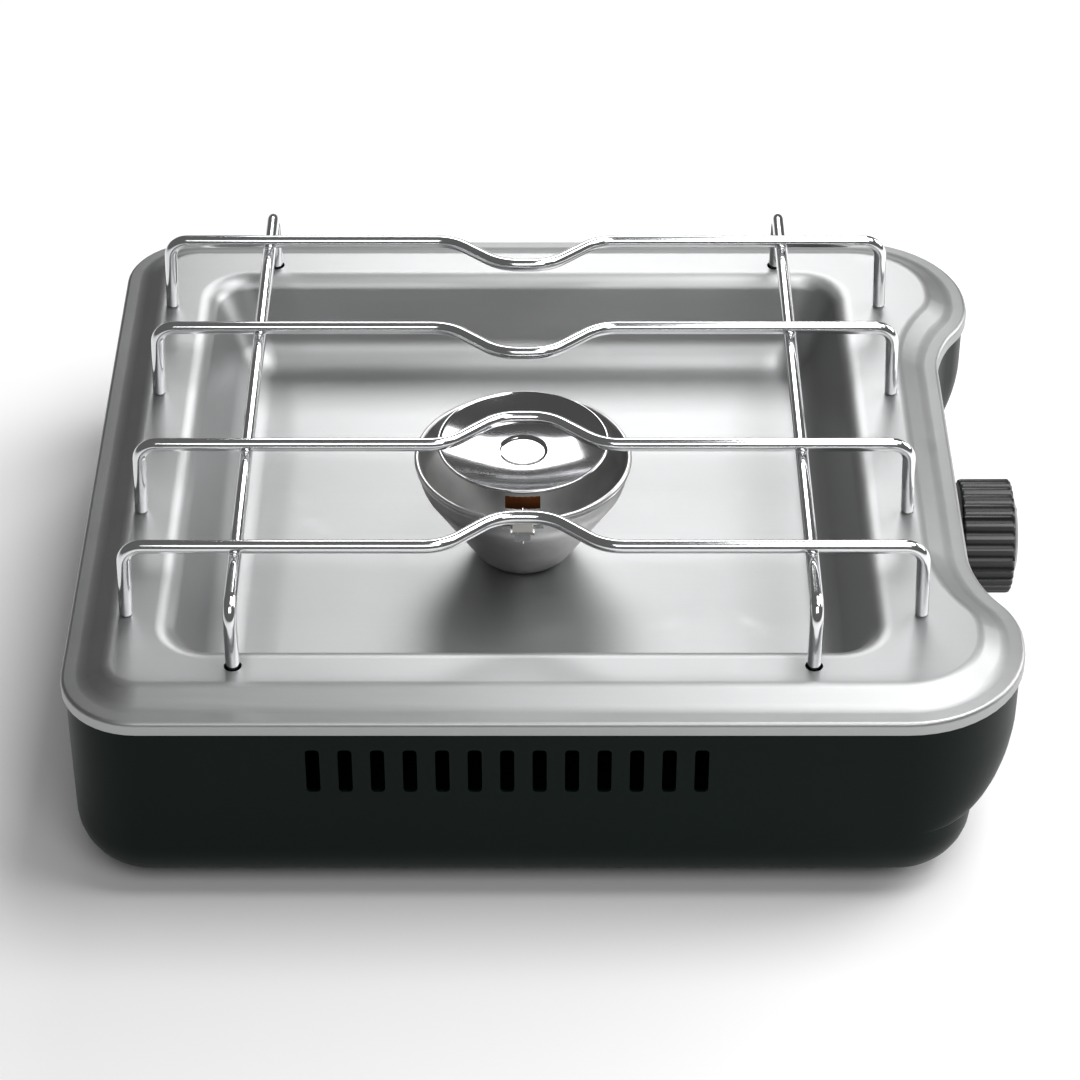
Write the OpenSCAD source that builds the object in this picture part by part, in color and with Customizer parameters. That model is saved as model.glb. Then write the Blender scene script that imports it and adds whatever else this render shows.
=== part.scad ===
// Single-burner camping stove: a pressed drip tray on a painted steel tub, with a lift-off wire
// pot grate, a burner in the well and a gas valve turned by a knob in the waist of the right side.
// Origin: on the ground under the middle of the grate. +X to the knob side, -Y to the front.

/* [Tray] */
// Width of the tray between its straight left and right edges
tray_w = 329; // [300:1:360]
// Depth of the tray from front to back
tray_d = 311; // [290:1:340]
// How far each rounded ear reaches past the right edge
ear_reach = 15.5; // [8:0.5:18]
// Height of the flat shoulder that the grate stands on
shoulder_z = 90.5; // [84:0.5:100]
// Drop from the shoulder to the outer flange
flange_drop = 5; // [3:0.5:8]
// Height of the folded hem under the flange
hem_h = 5; // [4:0.5:7]
// Thickness of the tray sheet
tray_t = 1; // [0.8:0.1:1.4]
// Width of the well opening
well_w = 254; // [230:1:262]
// Depth of the well opening from front to back
well_d = 239; // [220:1:246]
// Height of the well floor
floor_z = 58; // [54:0.5:62]

/* [Tub] */
// Thickness of the tub sheet
tub_t = 1.2; // [1:0.1:1.6]
// Height of the underside of the tub above the ground
foot_h = 4; // [3:0.5:8]
// Radius of the rounded bottom edge
belly_r = 22; // [14:1:24]
// Number of air slots in the front
slot_count = 13; // [7:1:15]
// Width of an air slot
slot_w = 5; // [3:0.5:6]
// Height of an air slot
slot_h = 19.5; // [12:0.5:24]

/* [Grate] */
// Diameter of the grate wire
wire_d = 5; // [4:0.5:6]
// Height of the centreline of the four cross rods
rod_z = 121; // [114:0.5:126]
// Distance between the legs of a cross rod, at the top
leg_span = 285; // [276:1:288]
// Distance of the outer cross rods from the middle
rod_y_outer = 99.9; // [94:0.1:104]
// Distance of the inner cross rods from the middle
rod_y_inner = 38.4; // [34:0.1:44]
// How far the middle of each rod is bent towards the burner
bend_in = 17.3; // [15:0.1:19]
// Distance of the two rails from the middle
rail_x = 102.8; // [96:0.1:108]
// Distance of the rail ends from the middle
rail_end_y = 129.3; // [127:0.1:132]

/* [Burner] */
// Radius of the burner cap
cap_r = 32.4; // [30:0.1:34]
// Height of the cap's rim
cap_z = 109.7; // [106:0.1:112]
// Radius of the rolled lip of the bowl
lip_r = 40; // [38:0.1:42]
// Height of the rolled lip of the bowl
lip_z = 102.5; // [100:0.1:104]
// Distance of the burner in front of the middle
burner_fwd = 20; // [10:1:30]

/* [Valve and knob] */
// Diameter of the knob over its ribs
knob_d = 44.6; // [36:0.2:48]
// Number of grip flutes round the knob
flute_count = 32; // [20:1:40]
// Height of the knob's axis
axis_z = 49; // [44:0.5:52]
// How far the knob is pushed in to light the burner
push_travel = 3; // [2:0.5:4]
// How far the gas inlet stands out behind the tub
inlet_out = 14; // [8:1:20]

/* [Hidden] */

$fn = 48;
eps = 0.01;

// Outline of the tray, seen from above
half_w = tray_w / 2;
half_d = tray_d / 2;
left_corner_r = 29;       // corners of the left side
ear_x = half_w + ear_reach;
ear_corner_r = 45.5;      // the ears' big outer corners
ear_nose_r = 18;          // the ears' tighter inner shoulders
waist_r = 45;             // hollow curve from the waist into an ear
waist_y = 60;             // where that curve starts
waist_turn = 34;          // how far it turns, in degrees
nose_y = waist_y + waist_r * sin(waist_turn) + ear_nose_r * sin(waist_turn)
    + (ear_x - half_w - (waist_r + ear_nose_r) * (1 - cos(waist_turn))) / tan(waist_turn);

arc_steps = 8;            // segments in each of the outline's arcs
skirt_gap = 0.3;          // between the tray's hem and the tub
flange_w = 7.5;
slope_w = 8.5;
flange_z = shoulder_z - flange_drop;
hem_z = flange_z - hem_h;
well_corner_r = 14;
well_run = 9.5;           // how far the well's walls lean in
well_fillet = 9;

tub_in = tray_t + skirt_gap;          // the tub's outside, in from the tray's edge
tub_top = flange_z - tray_t;
tub_floor_z = foot_h + tub_t;         // the tub's floor, inside
ear_full_z = 61;          // the ears have their full reach above this
ear_end_z = 32;           // and end here
front_y = -(half_d - tub_in);
right_x = half_w - tub_in;
slot_pitch = 11.44;
slot_mid_x = -5.7;
slot_mid_z = 62.8;
slot_corner = 1.5;

wire_r = wire_d / 2;
leg_lean = 2;             // degrees that the legs lean outwards
leg_bend_r = 6.8;
rod_bend_r = 18;
rod_bend = 42;            // degrees
rod_flat = 2.6;           // half of the straight piece at the middle of a bend
rail_z = rod_z - wire_d;
leg_lift = 0.12;          // keeps the slanted end of a leg off the shoulder
wire_sides = 12;
rail_bend_r = 7;
hole_r = wire_r + 0.7;
rail_sink = 7;            // how far the rail ends go below the shoulder

bx = -0.5;
by = -burner_fwd;
bowl_side_r = lip_r - 0.8;
bowl_floor_r = 17.3;
bowl_t = 1;
neck_r = 8;
tube_r = 7;
joint_gap = 0.05;         // round a tube that is pushed into its seat
socket_x = 5;             // the mixing tube starts this far from the burner's axis
gas_z = axis_z - 2;       // height of the jet and the mixing tube
floor_under = floor_z - tray_t;

valve_x = 134;            // middle of the valve body
jet_x = 108;
tube_in_x = 99;
tube_turn = atan2(-by, jet_x - bx);   // the mixing tube points from the valve to the burner
sleeve_r = 5.5;
stem_r = 3.5;
knob_back_x = right_x + 5.6;
knob_face_x = 189;
dome_x = 190.8;           // top of the knob's domed insert
feed_y = 20;              // where the feed tube meets the valve's union
inlet_x = 126;
rear_y = half_d - tub_in;

// ---------- outlines ----------

function arc(cx, cy, r, a0, a1) = [
    for (i = [0 : arc_steps]) let (a = a0 + (a1 - a0) * i / arc_steps) [cx + r * cos(a), cy + r * sin(a)]
];
function flip_y(pts) = [for (i = [len(pts) - 1 : -1 : 0]) [pts[i][0], -pts[i][1]]];
function at_z(pts, z) = [for (p = pts) [p[0], p[1], z]];
function mix(a, b, f) = [for (i = [0 : len(a) - 1]) a[i] * (1 - f) + b[i] * f];

// Rear half of the right side, from the waist round the ear to the back edge, set in by s
function ear_half(s) = concat(
    arc(half_w + waist_r, waist_y, waist_r + s, 180, 180 - waist_turn),
    arc(ear_x - ear_nose_r, nose_y, ear_nose_r - s, -waist_turn, 0),
    arc(ear_x - ear_corner_r, half_d - ear_corner_r, ear_corner_r - s, 0, 90)
);
// The same points on a plain rounded corner with no ear
function plain_half(s, r) = concat(
    [for (p = arc(0, waist_y, waist_r, 0, waist_turn)) [half_w - s, p[1]]],
    [for (p = arc(0, nose_y, ear_nose_r, -waist_turn, 0)) [half_w - s, p[1]]],
    arc(half_w - r, half_d - r, r - s, 0, 90)
);
function left_half(s) = arc(left_corner_r - half_w, half_d - left_corner_r, left_corner_r - s, 90, 180);
// Closed outline set in by s, with f = 1 for full ears and f = 0 for none
function outline(s, f = 1) = let (
    right = mix(plain_half(s, left_corner_r), ear_half(s), f),
    rear = concat(right, left_half(s))
) concat(rear, flip_y(rear));
// Outline of the well, opened by s, point for point opposite the outline above
function well(s) = let (
    w = well_w / 2 + s,
    d = well_d / 2 + s,
    r = max(well_corner_r + s, 2),
    k = (d - r) / (half_d - left_corner_r),
    side = [for (i = [0 : 2 * arc_steps + 1]) [w, plain_half(0, left_corner_r)[i][1] * k]],
    rear = concat(side, arc(w - r, d - r, r, 0, 90), arc(r - w, d - r, r, 90, 180))
) concat(rear, flip_y(rear));

// Closed solid through rings that all have the same number of points
module loft(rings) {
    n = len(rings[0]);
    m = len(rings);
    polyhedron(
        points = [for (ring = rings) each ring],
        faces = concat(
            [[for (i = [n - 1 : -1 : 0]) i]],
            [for (k = [0 : m - 2], i = [0 : n - 1]) let (j = (i + 1) % n)
                [k * n + i, k * n + j, (k + 1) * n + j]],
            [for (k = [0 : m - 2], i = [0 : n - 1]) let (j = (i + 1) % n)
                [k * n + i, (k + 1) * n + j, (k + 1) * n + i]],
            [[for (i = [0 : n - 1]) (m - 1) * n + i]]
        ),
        convexity = 8
    );
}

// ---------- shared shapes ----------

module along_x(x, y, z) {
    translate([x, y, z]) rotate([0, 90, 0]) children();
}

module along_y(x, y, z) {
    translate([x, y, z]) rotate([-90, 0, 0]) children();
}

// Round wire along a path. The reference is an axis that the path never runs along.
module sweep(path, r, reference) {
    last = len(path) - 1;
    loft([for (i = [0 : last]) let (
        way = path[min(i + 1, last)] - path[max(i - 1, 0)],
        across = cross(way / norm(way), reference),
        side = across / norm(across),
        up = cross(side, way / norm(way))
    ) [for (k = [0 : wire_sides - 1]) let (a = 360 * k / wire_sides)
        path[i] + r * (cos(a) * side + sin(a) * up)]]);
}

module hex(flats, h) {
    cylinder(h = h, d = flats / cos(30), $fn = 6);
}

// Pan-head screw that points up, with its head's underside at the origin
module screw_up(head_r, head_h, shank_r, length) {
    difference() {
        union() {
            translate([0, 0, -head_h]) cylinder(h = head_h, r = head_r);
            translate([0, 0, -eps]) cylinder(h = length + eps, r = shank_r);
        }
        for (a = [0, 90])
            rotate([0, 0, a]) translate([-head_r * 0.6, -0.5, -head_h - eps])
                cube([head_r * 1.2, 1, head_h * 0.6]);
    }
}

// ---------- tub ----------

belly_steps = 5;
// Rings down the outside of the tub, set in by s and lifted by lift at the bottom
function tub_rings(s, lift) = concat(
    [at_z(outline(s), tub_top)],
    [for (a = [0 : 15 : 90])
        at_z(outline(s, cos(a)), ear_full_z - (ear_full_z - ear_end_z) * sin(a) + lift)],
    [for (i = [0 : belly_steps]) let (a = 90 * i / belly_steps, r = belly_r - lift)
        at_z(outline(s + r * (1 - cos(a)), 0), foot_h + lift + r * (1 - sin(a)))]
);
function reversed(v) = [for (i = [len(v) - 1 : -1 : 0]) v[i]];

foot_x = 118;
foot_y = 110;
foot_web = 1.8;           // rubber between the screw's head and the tub
post_x = 92;
post_y = 84;
bush_hole_r = 9;
inlet_r = 8;
inlet_hole_r = inlet_r + 0.2;
inlet_nut_h = 4;
spigot_r = 7.5;
screw_hole_r = 2.2;

module four(x, y) {
    for (sx = [-1, 1], sy = [-1, 1])
        translate([sx * x, sy * y, 0]) children();
}

// The pressings are smooth skins: resize([0, 0, 0]) keeps their size and makes each one faceted solid
module base_shell() {
    color([0.075, 0.11, 0.10]) resize([0, 0, 0]) difference() {
        loft(concat(reversed(tub_rings(tub_in, 0)), tub_rings(tub_in + tub_t, tub_t)));
        for (i = [0 : slot_count - 1])
            translate([slot_mid_x + (i - (slot_count - 1) / 2) * slot_pitch, front_y - 1, slot_mid_z])
                rotate([-90, 0, 0]) air_slot();
        along_x(right_x - 4, 0, axis_z) cylinder(h = 8, r = bush_hole_r);
        along_y(inlet_x, rear_y - 4, axis_z) cylinder(h = 8, r = inlet_hole_r);
        four(foot_x, foot_y) translate([0, 0, foot_h - 1]) cylinder(h = 4, r = screw_hole_r, $fn = 24);
        four(post_x, post_y) translate([0, 0, foot_h - 1]) cylinder(h = 4, r = screw_hole_r, $fn = 24);
    }
}

module air_slot() {
    linear_extrude(tub_t + 3) union() {
        square([slot_w - 2 * slot_corner, slot_h], center = true);
        square([slot_w, slot_h - 2 * slot_corner], center = true);
        for (sx = [-1, 1], sy = [-1, 1])
            translate([sx * (slot_w / 2 - slot_corner), sy * (slot_h / 2 - slot_corner)])
                circle(r = slot_corner, $fn = 12);
    }
}

module rubber_feet() {
    color([0.06, 0.06, 0.06]) four(foot_x, foot_y) difference() {
        rotate_extrude() polygon([[0, 0], [8.5, 0], [10, 1.2], [11, foot_h], [0, foot_h]]);
        translate([0, 0, -eps]) cylinder(h = foot_h - foot_web + 2 * eps, r = 4.6);
        cylinder(h = 2 * foot_h, r = screw_hole_r, center = true);
    }
}

module foot_screws() {
    color("silver") four(foot_x, foot_y)
        translate([0, 0, foot_h - foot_web]) screw_up(4, 1.6, screw_hole_r - 0.2, 6);
}

// ---------- tray ----------

// Top surface of the tray from the middle of the well's floor out to the hem's lower edge, with
// the sheet's own thickness t taken off it for the underside
function tray_rings(t) = let (fs = well_fillet + t) concat(
    [for (i = [0 : 4]) let (a = 22.5 * i)
        at_z(well(t - well_run - fs * (1 - sin(a)) * 0.8), floor_z - t + fs * (1 - cos(a)) * 0.8)],
    [at_z(well(t), shoulder_z - 2), at_z(well(t * 0.6 + 0.7), shoulder_z - 0.6 - t * 0.4)],
    [at_z(well(t * 0.3 + 2), shoulder_z - t)],
    [at_z(outline(flange_w + slope_w + t * 0.3), shoulder_z - t)],
    [at_z(outline(flange_w + t * 0.3), flange_z - t)]
);

module drip_tray() {
    color([0.72, 0.73, 0.74]) resize([0, 0, 0]) difference() {
        loft(concat(reversed(tray_underside()), tray_topside()));
        four(rail_x, rail_end_y) translate([0, 0, shoulder_z - 4]) cylinder(h = 8, r = hole_r, $fn = 32);
        translate([bx, by, floor_z - 4]) cylinder(h = 8, r = neck_r + 0.3);
    }
}

function tray_topside() = reversed(concat(
    tray_rings(0), [at_z(outline(0), flange_z), at_z(outline(0), hem_z)]
));
function tray_underside() = reversed(concat(
    tray_rings(tray_t), [at_z(outline(tray_t), flange_z - tray_t), at_z(outline(tray_t), hem_z)]
));

module tray_posts() {
    color("silver") four(post_x, post_y) difference() {
        translate([0, 0, tub_floor_z]) cylinder(h = floor_under - tub_floor_z, r = 5);
        translate([0, 0, foot_h]) cylinder(h = 16, r = screw_hole_r - 0.1);
    }
}

module post_screws() {
    color("silver") four(post_x, post_y) translate([0, 0, foot_h]) screw_up(4, 2.2, screw_hole_r - 0.15, 12);
}

// ---------- grate ----------

slant = (bend_in - 2 * rod_bend_r * (1 - cos(rod_bend))) / sin(rod_bend);
bend_half = rod_flat + 2 * rod_bend_r * sin(rod_bend) + slant * cos(rod_bend);
leg_len = (rod_z - shoulder_z - leg_bend_r * (1 - sin(leg_lean))) / cos(leg_lean) - leg_lift;
bend_steps = 5;

// Left half of a rod from the foot of its leg to its middle: x, distance bent in, z above rod_z
function half_rod() = let (
    corner_x = -leg_span / 2 + leg_bend_r,
    top = [corner_x - leg_bend_r * cos(leg_lean), 0, -leg_bend_r * (1 - sin(leg_lean))],
    mid_x = -bend_half + rod_bend_r * sin(rod_bend) + slant * cos(rod_bend),
    mid_v = rod_bend_r * (1 - cos(rod_bend)) + slant * sin(rod_bend)
) concat(
    [top - leg_len * [sin(leg_lean), 0, cos(leg_lean)]],
    [for (i = [0 : bend_steps + 1]) let (a = leg_lean + (90 - leg_lean) * i / (bend_steps + 1))
        [corner_x - leg_bend_r * cos(a), 0, -leg_bend_r * (1 - sin(a))]],
    [for (i = [0 : bend_steps]) let (a = rod_bend * i / bend_steps)
        [-bend_half + rod_bend_r * sin(a), rod_bend_r * (1 - cos(a)), 0]],
    [for (i = [0 : bend_steps]) let (a = rod_bend * (1 - i / bend_steps))
        [mid_x + rod_bend_r * (sin(rod_bend) - sin(a)), mid_v + rod_bend_r * (cos(a) - cos(rod_bend)), 0]]
);

// One cross rod, bent in the middle towards the burner
module rod(y) {
    side = y > 0 ? -1 : 1;
    left = [for (p = half_rod()) [p[0], y + side * p[1], rod_z + p[2]]];
    right = [for (p = reversed(left)) [-p[0], p[1], p[2]]];
    color([0.82, 0.83, 0.84]) sweep(concat(left, right), wire_r, [0, 1, 0]);
}

// One rail under the rods, its ends bent down into the tray
module rail(side) {
    x = side * rail_x;
    arc_y = rail_end_y - rail_bend_r;
    front = concat(
        [[x, -rail_end_y, shoulder_z - rail_sink]],
        [for (i = [0 : bend_steps + 1]) let (a = 90 * i / (bend_steps + 1))
            [x, -arc_y - rail_bend_r * cos(a), rail_z - rail_bend_r * (1 - sin(a))]]
    );
    back = [for (p = reversed(front)) [p[0], -p[1], p[2]]];
    color([0.80, 0.81, 0.82]) sweep(concat(front, back), wire_r, [1, 0, 0]);
}

module rod_front_outer() { rod(-rod_y_outer); }
module rod_front_inner() { rod(-rod_y_inner); }
module rod_rear_inner() { rod(rod_y_inner); }
module rod_rear_outer() { rod(rod_y_outer); }
module rail_left() { rail(-1); }
module rail_right() { rail(1); }

// ---------- burner ----------

ring_top_r = cap_r - 1.2;
ring_low_r = lip_r - 2.2;
ring_low_z = lip_z - 0.4;
hole_rows = 3;
row_count = 48;

module burner_cap() {
    color([0.85, 0.85, 0.86]) translate([bx, by, 0]) rotate_extrude($fn = 96) polygon([
        [0, cap_z - 5.2], [7, cap_z - 5.2], [9, cap_z - 4.7], [20, cap_z - 3.2], [28, cap_z - 1.4],
        [cap_r - 1.2, cap_z], [cap_r - 0.3, cap_z], [cap_r, cap_z - 0.4], [cap_r - 0.2, cap_z - 1.2],
        [cap_r - 1.2, cap_z - 1.3], [28, cap_z - 2.5], [20, cap_z - 4.3], [9, cap_z - 5.8], [7, cap_z - 6.3],
        [0, cap_z - 6.3]
    ]);
}

// Perforated skirt between the cap and the bowl, with a window at the front for the spark
module burner_ring() {
    z0 = ring_low_z;
    z1 = cap_z - 1.5;
    t = 0.9;
    foot_r = bowl_side_r - bowl_t - joint_gap;
    seat_r = bowl_side_r - 0.25;
    lean = atan2(ring_low_r - ring_top_r, z1 - z0);
    color([0.78, 0.78, 0.79]) translate([bx, by, 0]) difference() {
        rotate_extrude($fn = 96) polygon([
            [ring_top_r - 2.4, z1 - 0.85], [ring_top_r - 0.2, z1], [ring_low_r, z0 + 0.85],
            [seat_r, z0 + 0.85], [seat_r, lip_z + eps], [foot_r, lip_z + eps], [foot_r, z0],
            [ring_low_r - t, z0], [ring_top_r - t - 0.4, z1 - 1.5], [ring_top_r - 2.4, z1 - 1.6]
        ]);
        for (row = [1 : hole_rows], i = [0 : row_count - 1])
            rotate([0, 0, (i + row / 2) * 360 / row_count])
                translate([ring_low_r + (ring_top_r - ring_low_r) * row / (hole_rows + 1), 0,
                    z0 + (z1 - z0) * row / (hole_rows + 1) + 0.3])
                    rotate([0, 90 - lean, 0]) cylinder(h = 4, r = 0.45, center = true);
        translate([-3.5, -lip_r, z0 + 1.4]) cube([7, 12, 3.4]);
    }
}

module burner_bowl() {
    base = floor_z;
    cone_top = lip_z - 8.5;
    color([0.66, 0.66, 0.65]) translate([bx, by, 0]) difference() {
        rotate_extrude($fn = 96) union() {
            polygon([
                [0, base], [bowl_floor_r - 4, base], [bowl_floor_r - 1.4, base + 0.5],
                [bowl_floor_r + 0.8, base + 2.6], [bowl_side_r - 0.5, cone_top - 1],
                [bowl_side_r, cone_top + 1], [bowl_side_r, lip_z],
                [bowl_side_r - bowl_t, lip_z], [bowl_side_r - bowl_t, cone_top + 1],
                [bowl_side_r - bowl_t - 0.5, cone_top - 0.6], [bowl_floor_r - 0.4, base + 3],
                [bowl_floor_r - 2, base + 1.4], [bowl_floor_r - 4, base + bowl_t], [0, base + bowl_t]
            ]);
            translate([lip_r, lip_z - 0.5]) circle(r = 1, $fn = 24);
            translate([lip_r - 0.3, lip_z - 2.6]) circle(r = 0.8, $fn = 24);
        }
        translate([0, 0, base - 1]) cylinder(h = 4, r = neck_r + joint_gap);
    }
}

module burner_neck() {
    reach = 15;
    elbow_r = neck_r + 0.3;
    bore_r = tube_r - 1;
    color([0.6, 0.6, 0.6]) translate([bx, by, 0]) rotate([0, 0, tube_turn]) difference() {
        union() {
            translate([0, 0, gas_z]) cylinder(h = floor_z + 4 - gas_z, r = neck_r);
            translate([0, 0, floor_z + bowl_t]) cylinder(h = 1.4, r = neck_r + 3);
            translate([0, 0, gas_z]) sphere(r = elbow_r);
            along_x(0, 0, gas_z) cylinder(h = reach, r = elbow_r);
        }
        translate([0, 0, gas_z]) cylinder(h = 20, r = bore_r);
        translate([0, 0, gas_z]) sphere(r = bore_r);
        along_x(0, 0, gas_z) cylinder(h = reach + 1, r = bore_r);
        along_x(socket_x - joint_gap, 0, gas_z) cylinder(h = reach, r = tube_r + joint_gap);
    }
}

module neck_nut() {
    nut_h = 1.6;
    color("silver") translate([bx, by, floor_under - nut_h]) difference() {
        hex(23, nut_h);
        translate([0, 0, -1]) cylinder(h = 6, r = neck_r + joint_gap);
    }
}

// ---------- electrode ----------

pin_r = 0.7;
ceramic_in = lip_r + 1.15;
ceramic_w = 7.5;
ceramic_t = 3.4;
ceramic_low = 98.8;
ceramic_high = 104.4;

module electrode_ceramic() {
    color([0.93, 0.91, 0.86]) translate([bx - ceramic_w / 2, by - ceramic_in - ceramic_t, 0]) difference() {
        translate([0, 0, ceramic_low]) cube([ceramic_w, ceramic_t, ceramic_high - ceramic_low]);
        translate([ceramic_w / 2, ceramic_t / 2, 0]) cylinder(h = 2 * ceramic_high, r = pin_r);
    }
}

// Spark wire: terminal below the ceramic, up through it, and in to the window of the ring
module electrode_pin() {
    y = -ceramic_in - ceramic_t / 2;
    color([0.7, 0.7, 0.7]) translate([bx, by, 0]) {
        translate([-2.9, y - 1.1, ceramic_low - 3.2]) cube([5.8, 2.2, 3.2]);
        translate([0, y, ceramic_low - 5.2]) cylinder(h = 2.2, r1 = 0.3, r2 = 0.9);
        translate([0, y, ceramic_low - 0.2]) cylinder(h = ceramic_high - ceramic_low + 2.2, r = pin_r);
        along_y(0, y, ceramic_high + 1.2) cylinder(h = 5.2, r = pin_r - 0.1);
    }
}

// Strap round the ceramic, with a wing on each side that bears on the bowl's lower bead
module electrode_clip() {
    z = ceramic_low + 0.6;
    strap_h = 1.1;
    strap_t = 0.6;
    wing_w = 3.9;
    front = -ceramic_in - ceramic_t - strap_t;
    back = -lip_r - strap_t;
    color([0.75, 0.75, 0.76]) translate([bx, by, 0]) {
        translate([-ceramic_w / 2 - strap_t, front, z]) cube([ceramic_w + 2 * strap_t, strap_t, strap_h]);
        for (side = [-1, 1]) {
            translate([side * (ceramic_w + strap_t) / 2 - strap_t / 2, front, z])
                cube([strap_t, back - front, strap_h]);
            translate([side * (ceramic_w + wing_w) / 2 - wing_w / 2, back - strap_t, z])
                cube([wing_w, strap_t, strap_h]);
        }
    }
}

// ---------- gas line ----------

jet_reach = 6;

// Venturi tube from the jet to the elbow under the burner
module mixing_tube() {
    length = norm([tube_in_x - bx, by]) - socket_x;
    color([0.62, 0.62, 0.63]) translate([bx, by, gas_z]) rotate([0, 0, tube_turn]) rotate([0, 90, 0])
        rotate_extrude() polygon([
            [tube_r - 1.2, socket_x], [tube_r, socket_x], [tube_r, 40],
            [tube_r - 1.6, 52], [tube_r - 1.6, 66],
            [tube_r + 1.2, length - 6], [tube_r + 1.6, length], [tube_r + 0.4, length],
            [tube_r, length - 6], [tube_r - 2.8, 66], [tube_r - 2.8, 52], [tube_r - 1.2, 40]
        ]);
}

module gas_jet() {
    color("goldenrod") translate([valve_x - 17, jet_y(), gas_z]) rotate([0, -90, tube_turn]) difference() {
        union() {
            cylinder(h = jet_reach, r = 3.6);
            translate([0, 0, 1]) hex(9, 3);
            translate([0, 0, jet_reach - eps]) cylinder(h = 3, r1 = 3, r2 = 1.6);
        }
        translate([0, 0, 1]) cylinder(h = 20, r = 0.4);
        translate([0, 0, -1]) cylinder(h = 5, r = 1.6);
    }
}
function jet_y() = by + (valve_x - 17 - bx) * tan(tube_turn);

module valve_body() {
    color([0.72, 0.58, 0.28]) difference() {
        union() {
            translate([valve_x - 14, -9, axis_z - 9]) cube([28, 18, 17]);
            along_x(valve_x + 14 - eps, 0, axis_z) cylinder(h = 6.5, r = 7.8);
            translate([valve_x - 17, jet_y(), gas_z]) rotate([0, 90, tube_turn]) cylinder(h = 6, r = 6);
            along_y(inlet_x, 9 - eps, axis_z) cylinder(h = feed_y - 9 + eps, r = 6);
        }
        along_x(valve_x - 6, 0, axis_z) cylinder(h = 60, r = stem_r + 0.1);
        along_x(valve_x + 12, 0, axis_z) cylinder(h = 20, r = sleeve_r + 0.1);
        along_y(inlet_x, 1, axis_z) cylinder(h = 30, r = 3.1);
    }
}

bracket_t = 1.6;
bracket_screw_y = 12;

module valve_bracket() {
    wide = 32;
    color([0.55, 0.56, 0.57]) translate([valve_x - 12, -wide / 2, 0]) difference() {
        union() {
            translate([0, 0, tub_floor_z]) cube([18.5, wide, bracket_t]);
            translate([0, 0, tub_floor_z]) cube([bracket_t, wide, axis_z - 9 - tub_floor_z]);
            translate([0, 0, axis_z - 9 - bracket_t]) cube([24, wide, bracket_t]);
        }
        for (sy = [-1, 1])
            translate([9, wide / 2 + sy * bracket_screw_y, 0]) cylinder(h = 10, r = screw_hole_r);
    }
}

module bracket_screws() {
    color("silver") for (sy = [-1, 1])
        translate([valve_x - 3, sy * bracket_screw_y, tub_floor_z + bracket_t])
            mirror([0, 0, 1]) screw_up(4, 2, screw_hole_r - 0.15, 1.5);
}

module shaft_bush() {
    color([0.16, 0.16, 0.16]) difference() {
        union() {
            along_x(right_x - tub_t - 2.2, 0, axis_z) cylinder(h = tub_t + 2.4, r = bush_hole_r - 0.05);
            along_x(right_x, 0, axis_z) cylinder(h = 1.6, r = 13);
            along_x(right_x - tub_t - 2.2, 0, axis_z) cylinder(h = 2.2, r = 11);
        }
        along_x(right_x - 10, 0, axis_z) cylinder(h = 20, r = sleeve_r + 0.4);
    }
}

// Sleeve that slides in the valve when the knob is pushed, and lets the stem turn in it
module push_sleeve() {
    color([0.7, 0.7, 0.71]) difference() {
        union() {
            along_x(valve_x + 17, 0, axis_z) cylinder(h = knob_back_x + 1.9 - valve_x - 17, r = sleeve_r);
            along_x(valve_x + 24.2, 0, axis_z) cylinder(h = 1.2, r = sleeve_r + 2.5);
        }
        along_x(valve_x, 0, axis_z) cylinder(h = 80, r = stem_r + 0.06);
    }
}

stem_end_x = knob_face_x - 7;
stem_flat_z = 2;          // the stem's flat above its axis

module valve_stem() {
    start = valve_x - 5 + push_travel;
    color([0.68, 0.68, 0.69]) difference() {
        along_x(start, 0, axis_z) cylinder(h = stem_end_x - start, r = stem_r);
        translate([knob_back_x + 1, -5, axis_z + stem_flat_z]) cube([40, 10, 5]);
    }
}

flute_r = 2.3;
flute_depth = 1;
stem_gap = 0.02;
recess_r = knob_d / 2 - 5.2;
recess_depth = 1.8;

module knob() {
    knob_r = knob_d / 2;
    color([0.05, 0.05, 0.05]) difference() {
        along_x(0, 0, axis_z) rotate_extrude($fn = 96) polygon([
            [0, knob_back_x], [knob_r - 1.5, knob_back_x], [knob_r, knob_back_x + 1.2],
            [knob_r, knob_face_x - 3], [knob_r - 0.9, knob_face_x - 0.9], [knob_r - 3, knob_face_x],
            [0, knob_face_x]
        ]);
        for (i = [0 : flute_count - 1])
            translate([0, 0, axis_z]) rotate([i * 360 / flute_count, 0, 0])
                along_x(knob_back_x + 3.4, 0, knob_r + flute_r - flute_depth) cylinder(h = 40, r = flute_r);
        along_x(knob_face_x - recess_depth, 0, axis_z) cylinder(h = 4, r = recess_r);
        along_x(knob_back_x - 1, 0, axis_z) cylinder(h = 3, r = 14);
        difference() {
            along_x(knob_back_x - 1, 0, axis_z)
                cylinder(h = stem_end_x - knob_back_x + 1, r = stem_r + stem_gap);
            translate([knob_back_x + 1, -5, axis_z + stem_flat_z + stem_gap]) cube([40, 10, 5]);
        }
    }
}

// Domed insert in the end of the knob
module knob_face() {
    inner = recess_r - 0.1;
    color([0.09, 0.09, 0.09]) difference() {
        along_x(0, 0, axis_z) rotate_extrude($fn = 96) polygon([
            [0, knob_face_x - recess_depth], [inner, knob_face_x - recess_depth], [inner, knob_face_x + 0.6],
            [inner * 0.8, knob_face_x + 1.8], [inner * 0.45, dome_x - 0.7], [inner * 0.2, dome_x - 0.15],
            [0, dome_x]
        ]);
        pointer_bar(10);
    }
}

module knob_pointer() {
    color([0.9, 0.9, 0.88]) pointer_bar(1.9);
}

module pointer_bar(high) {
    translate([knob_face_x + 0.2, -0.8, axis_z + 3]) cube([high, 1.6, 11]);
}

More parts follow.
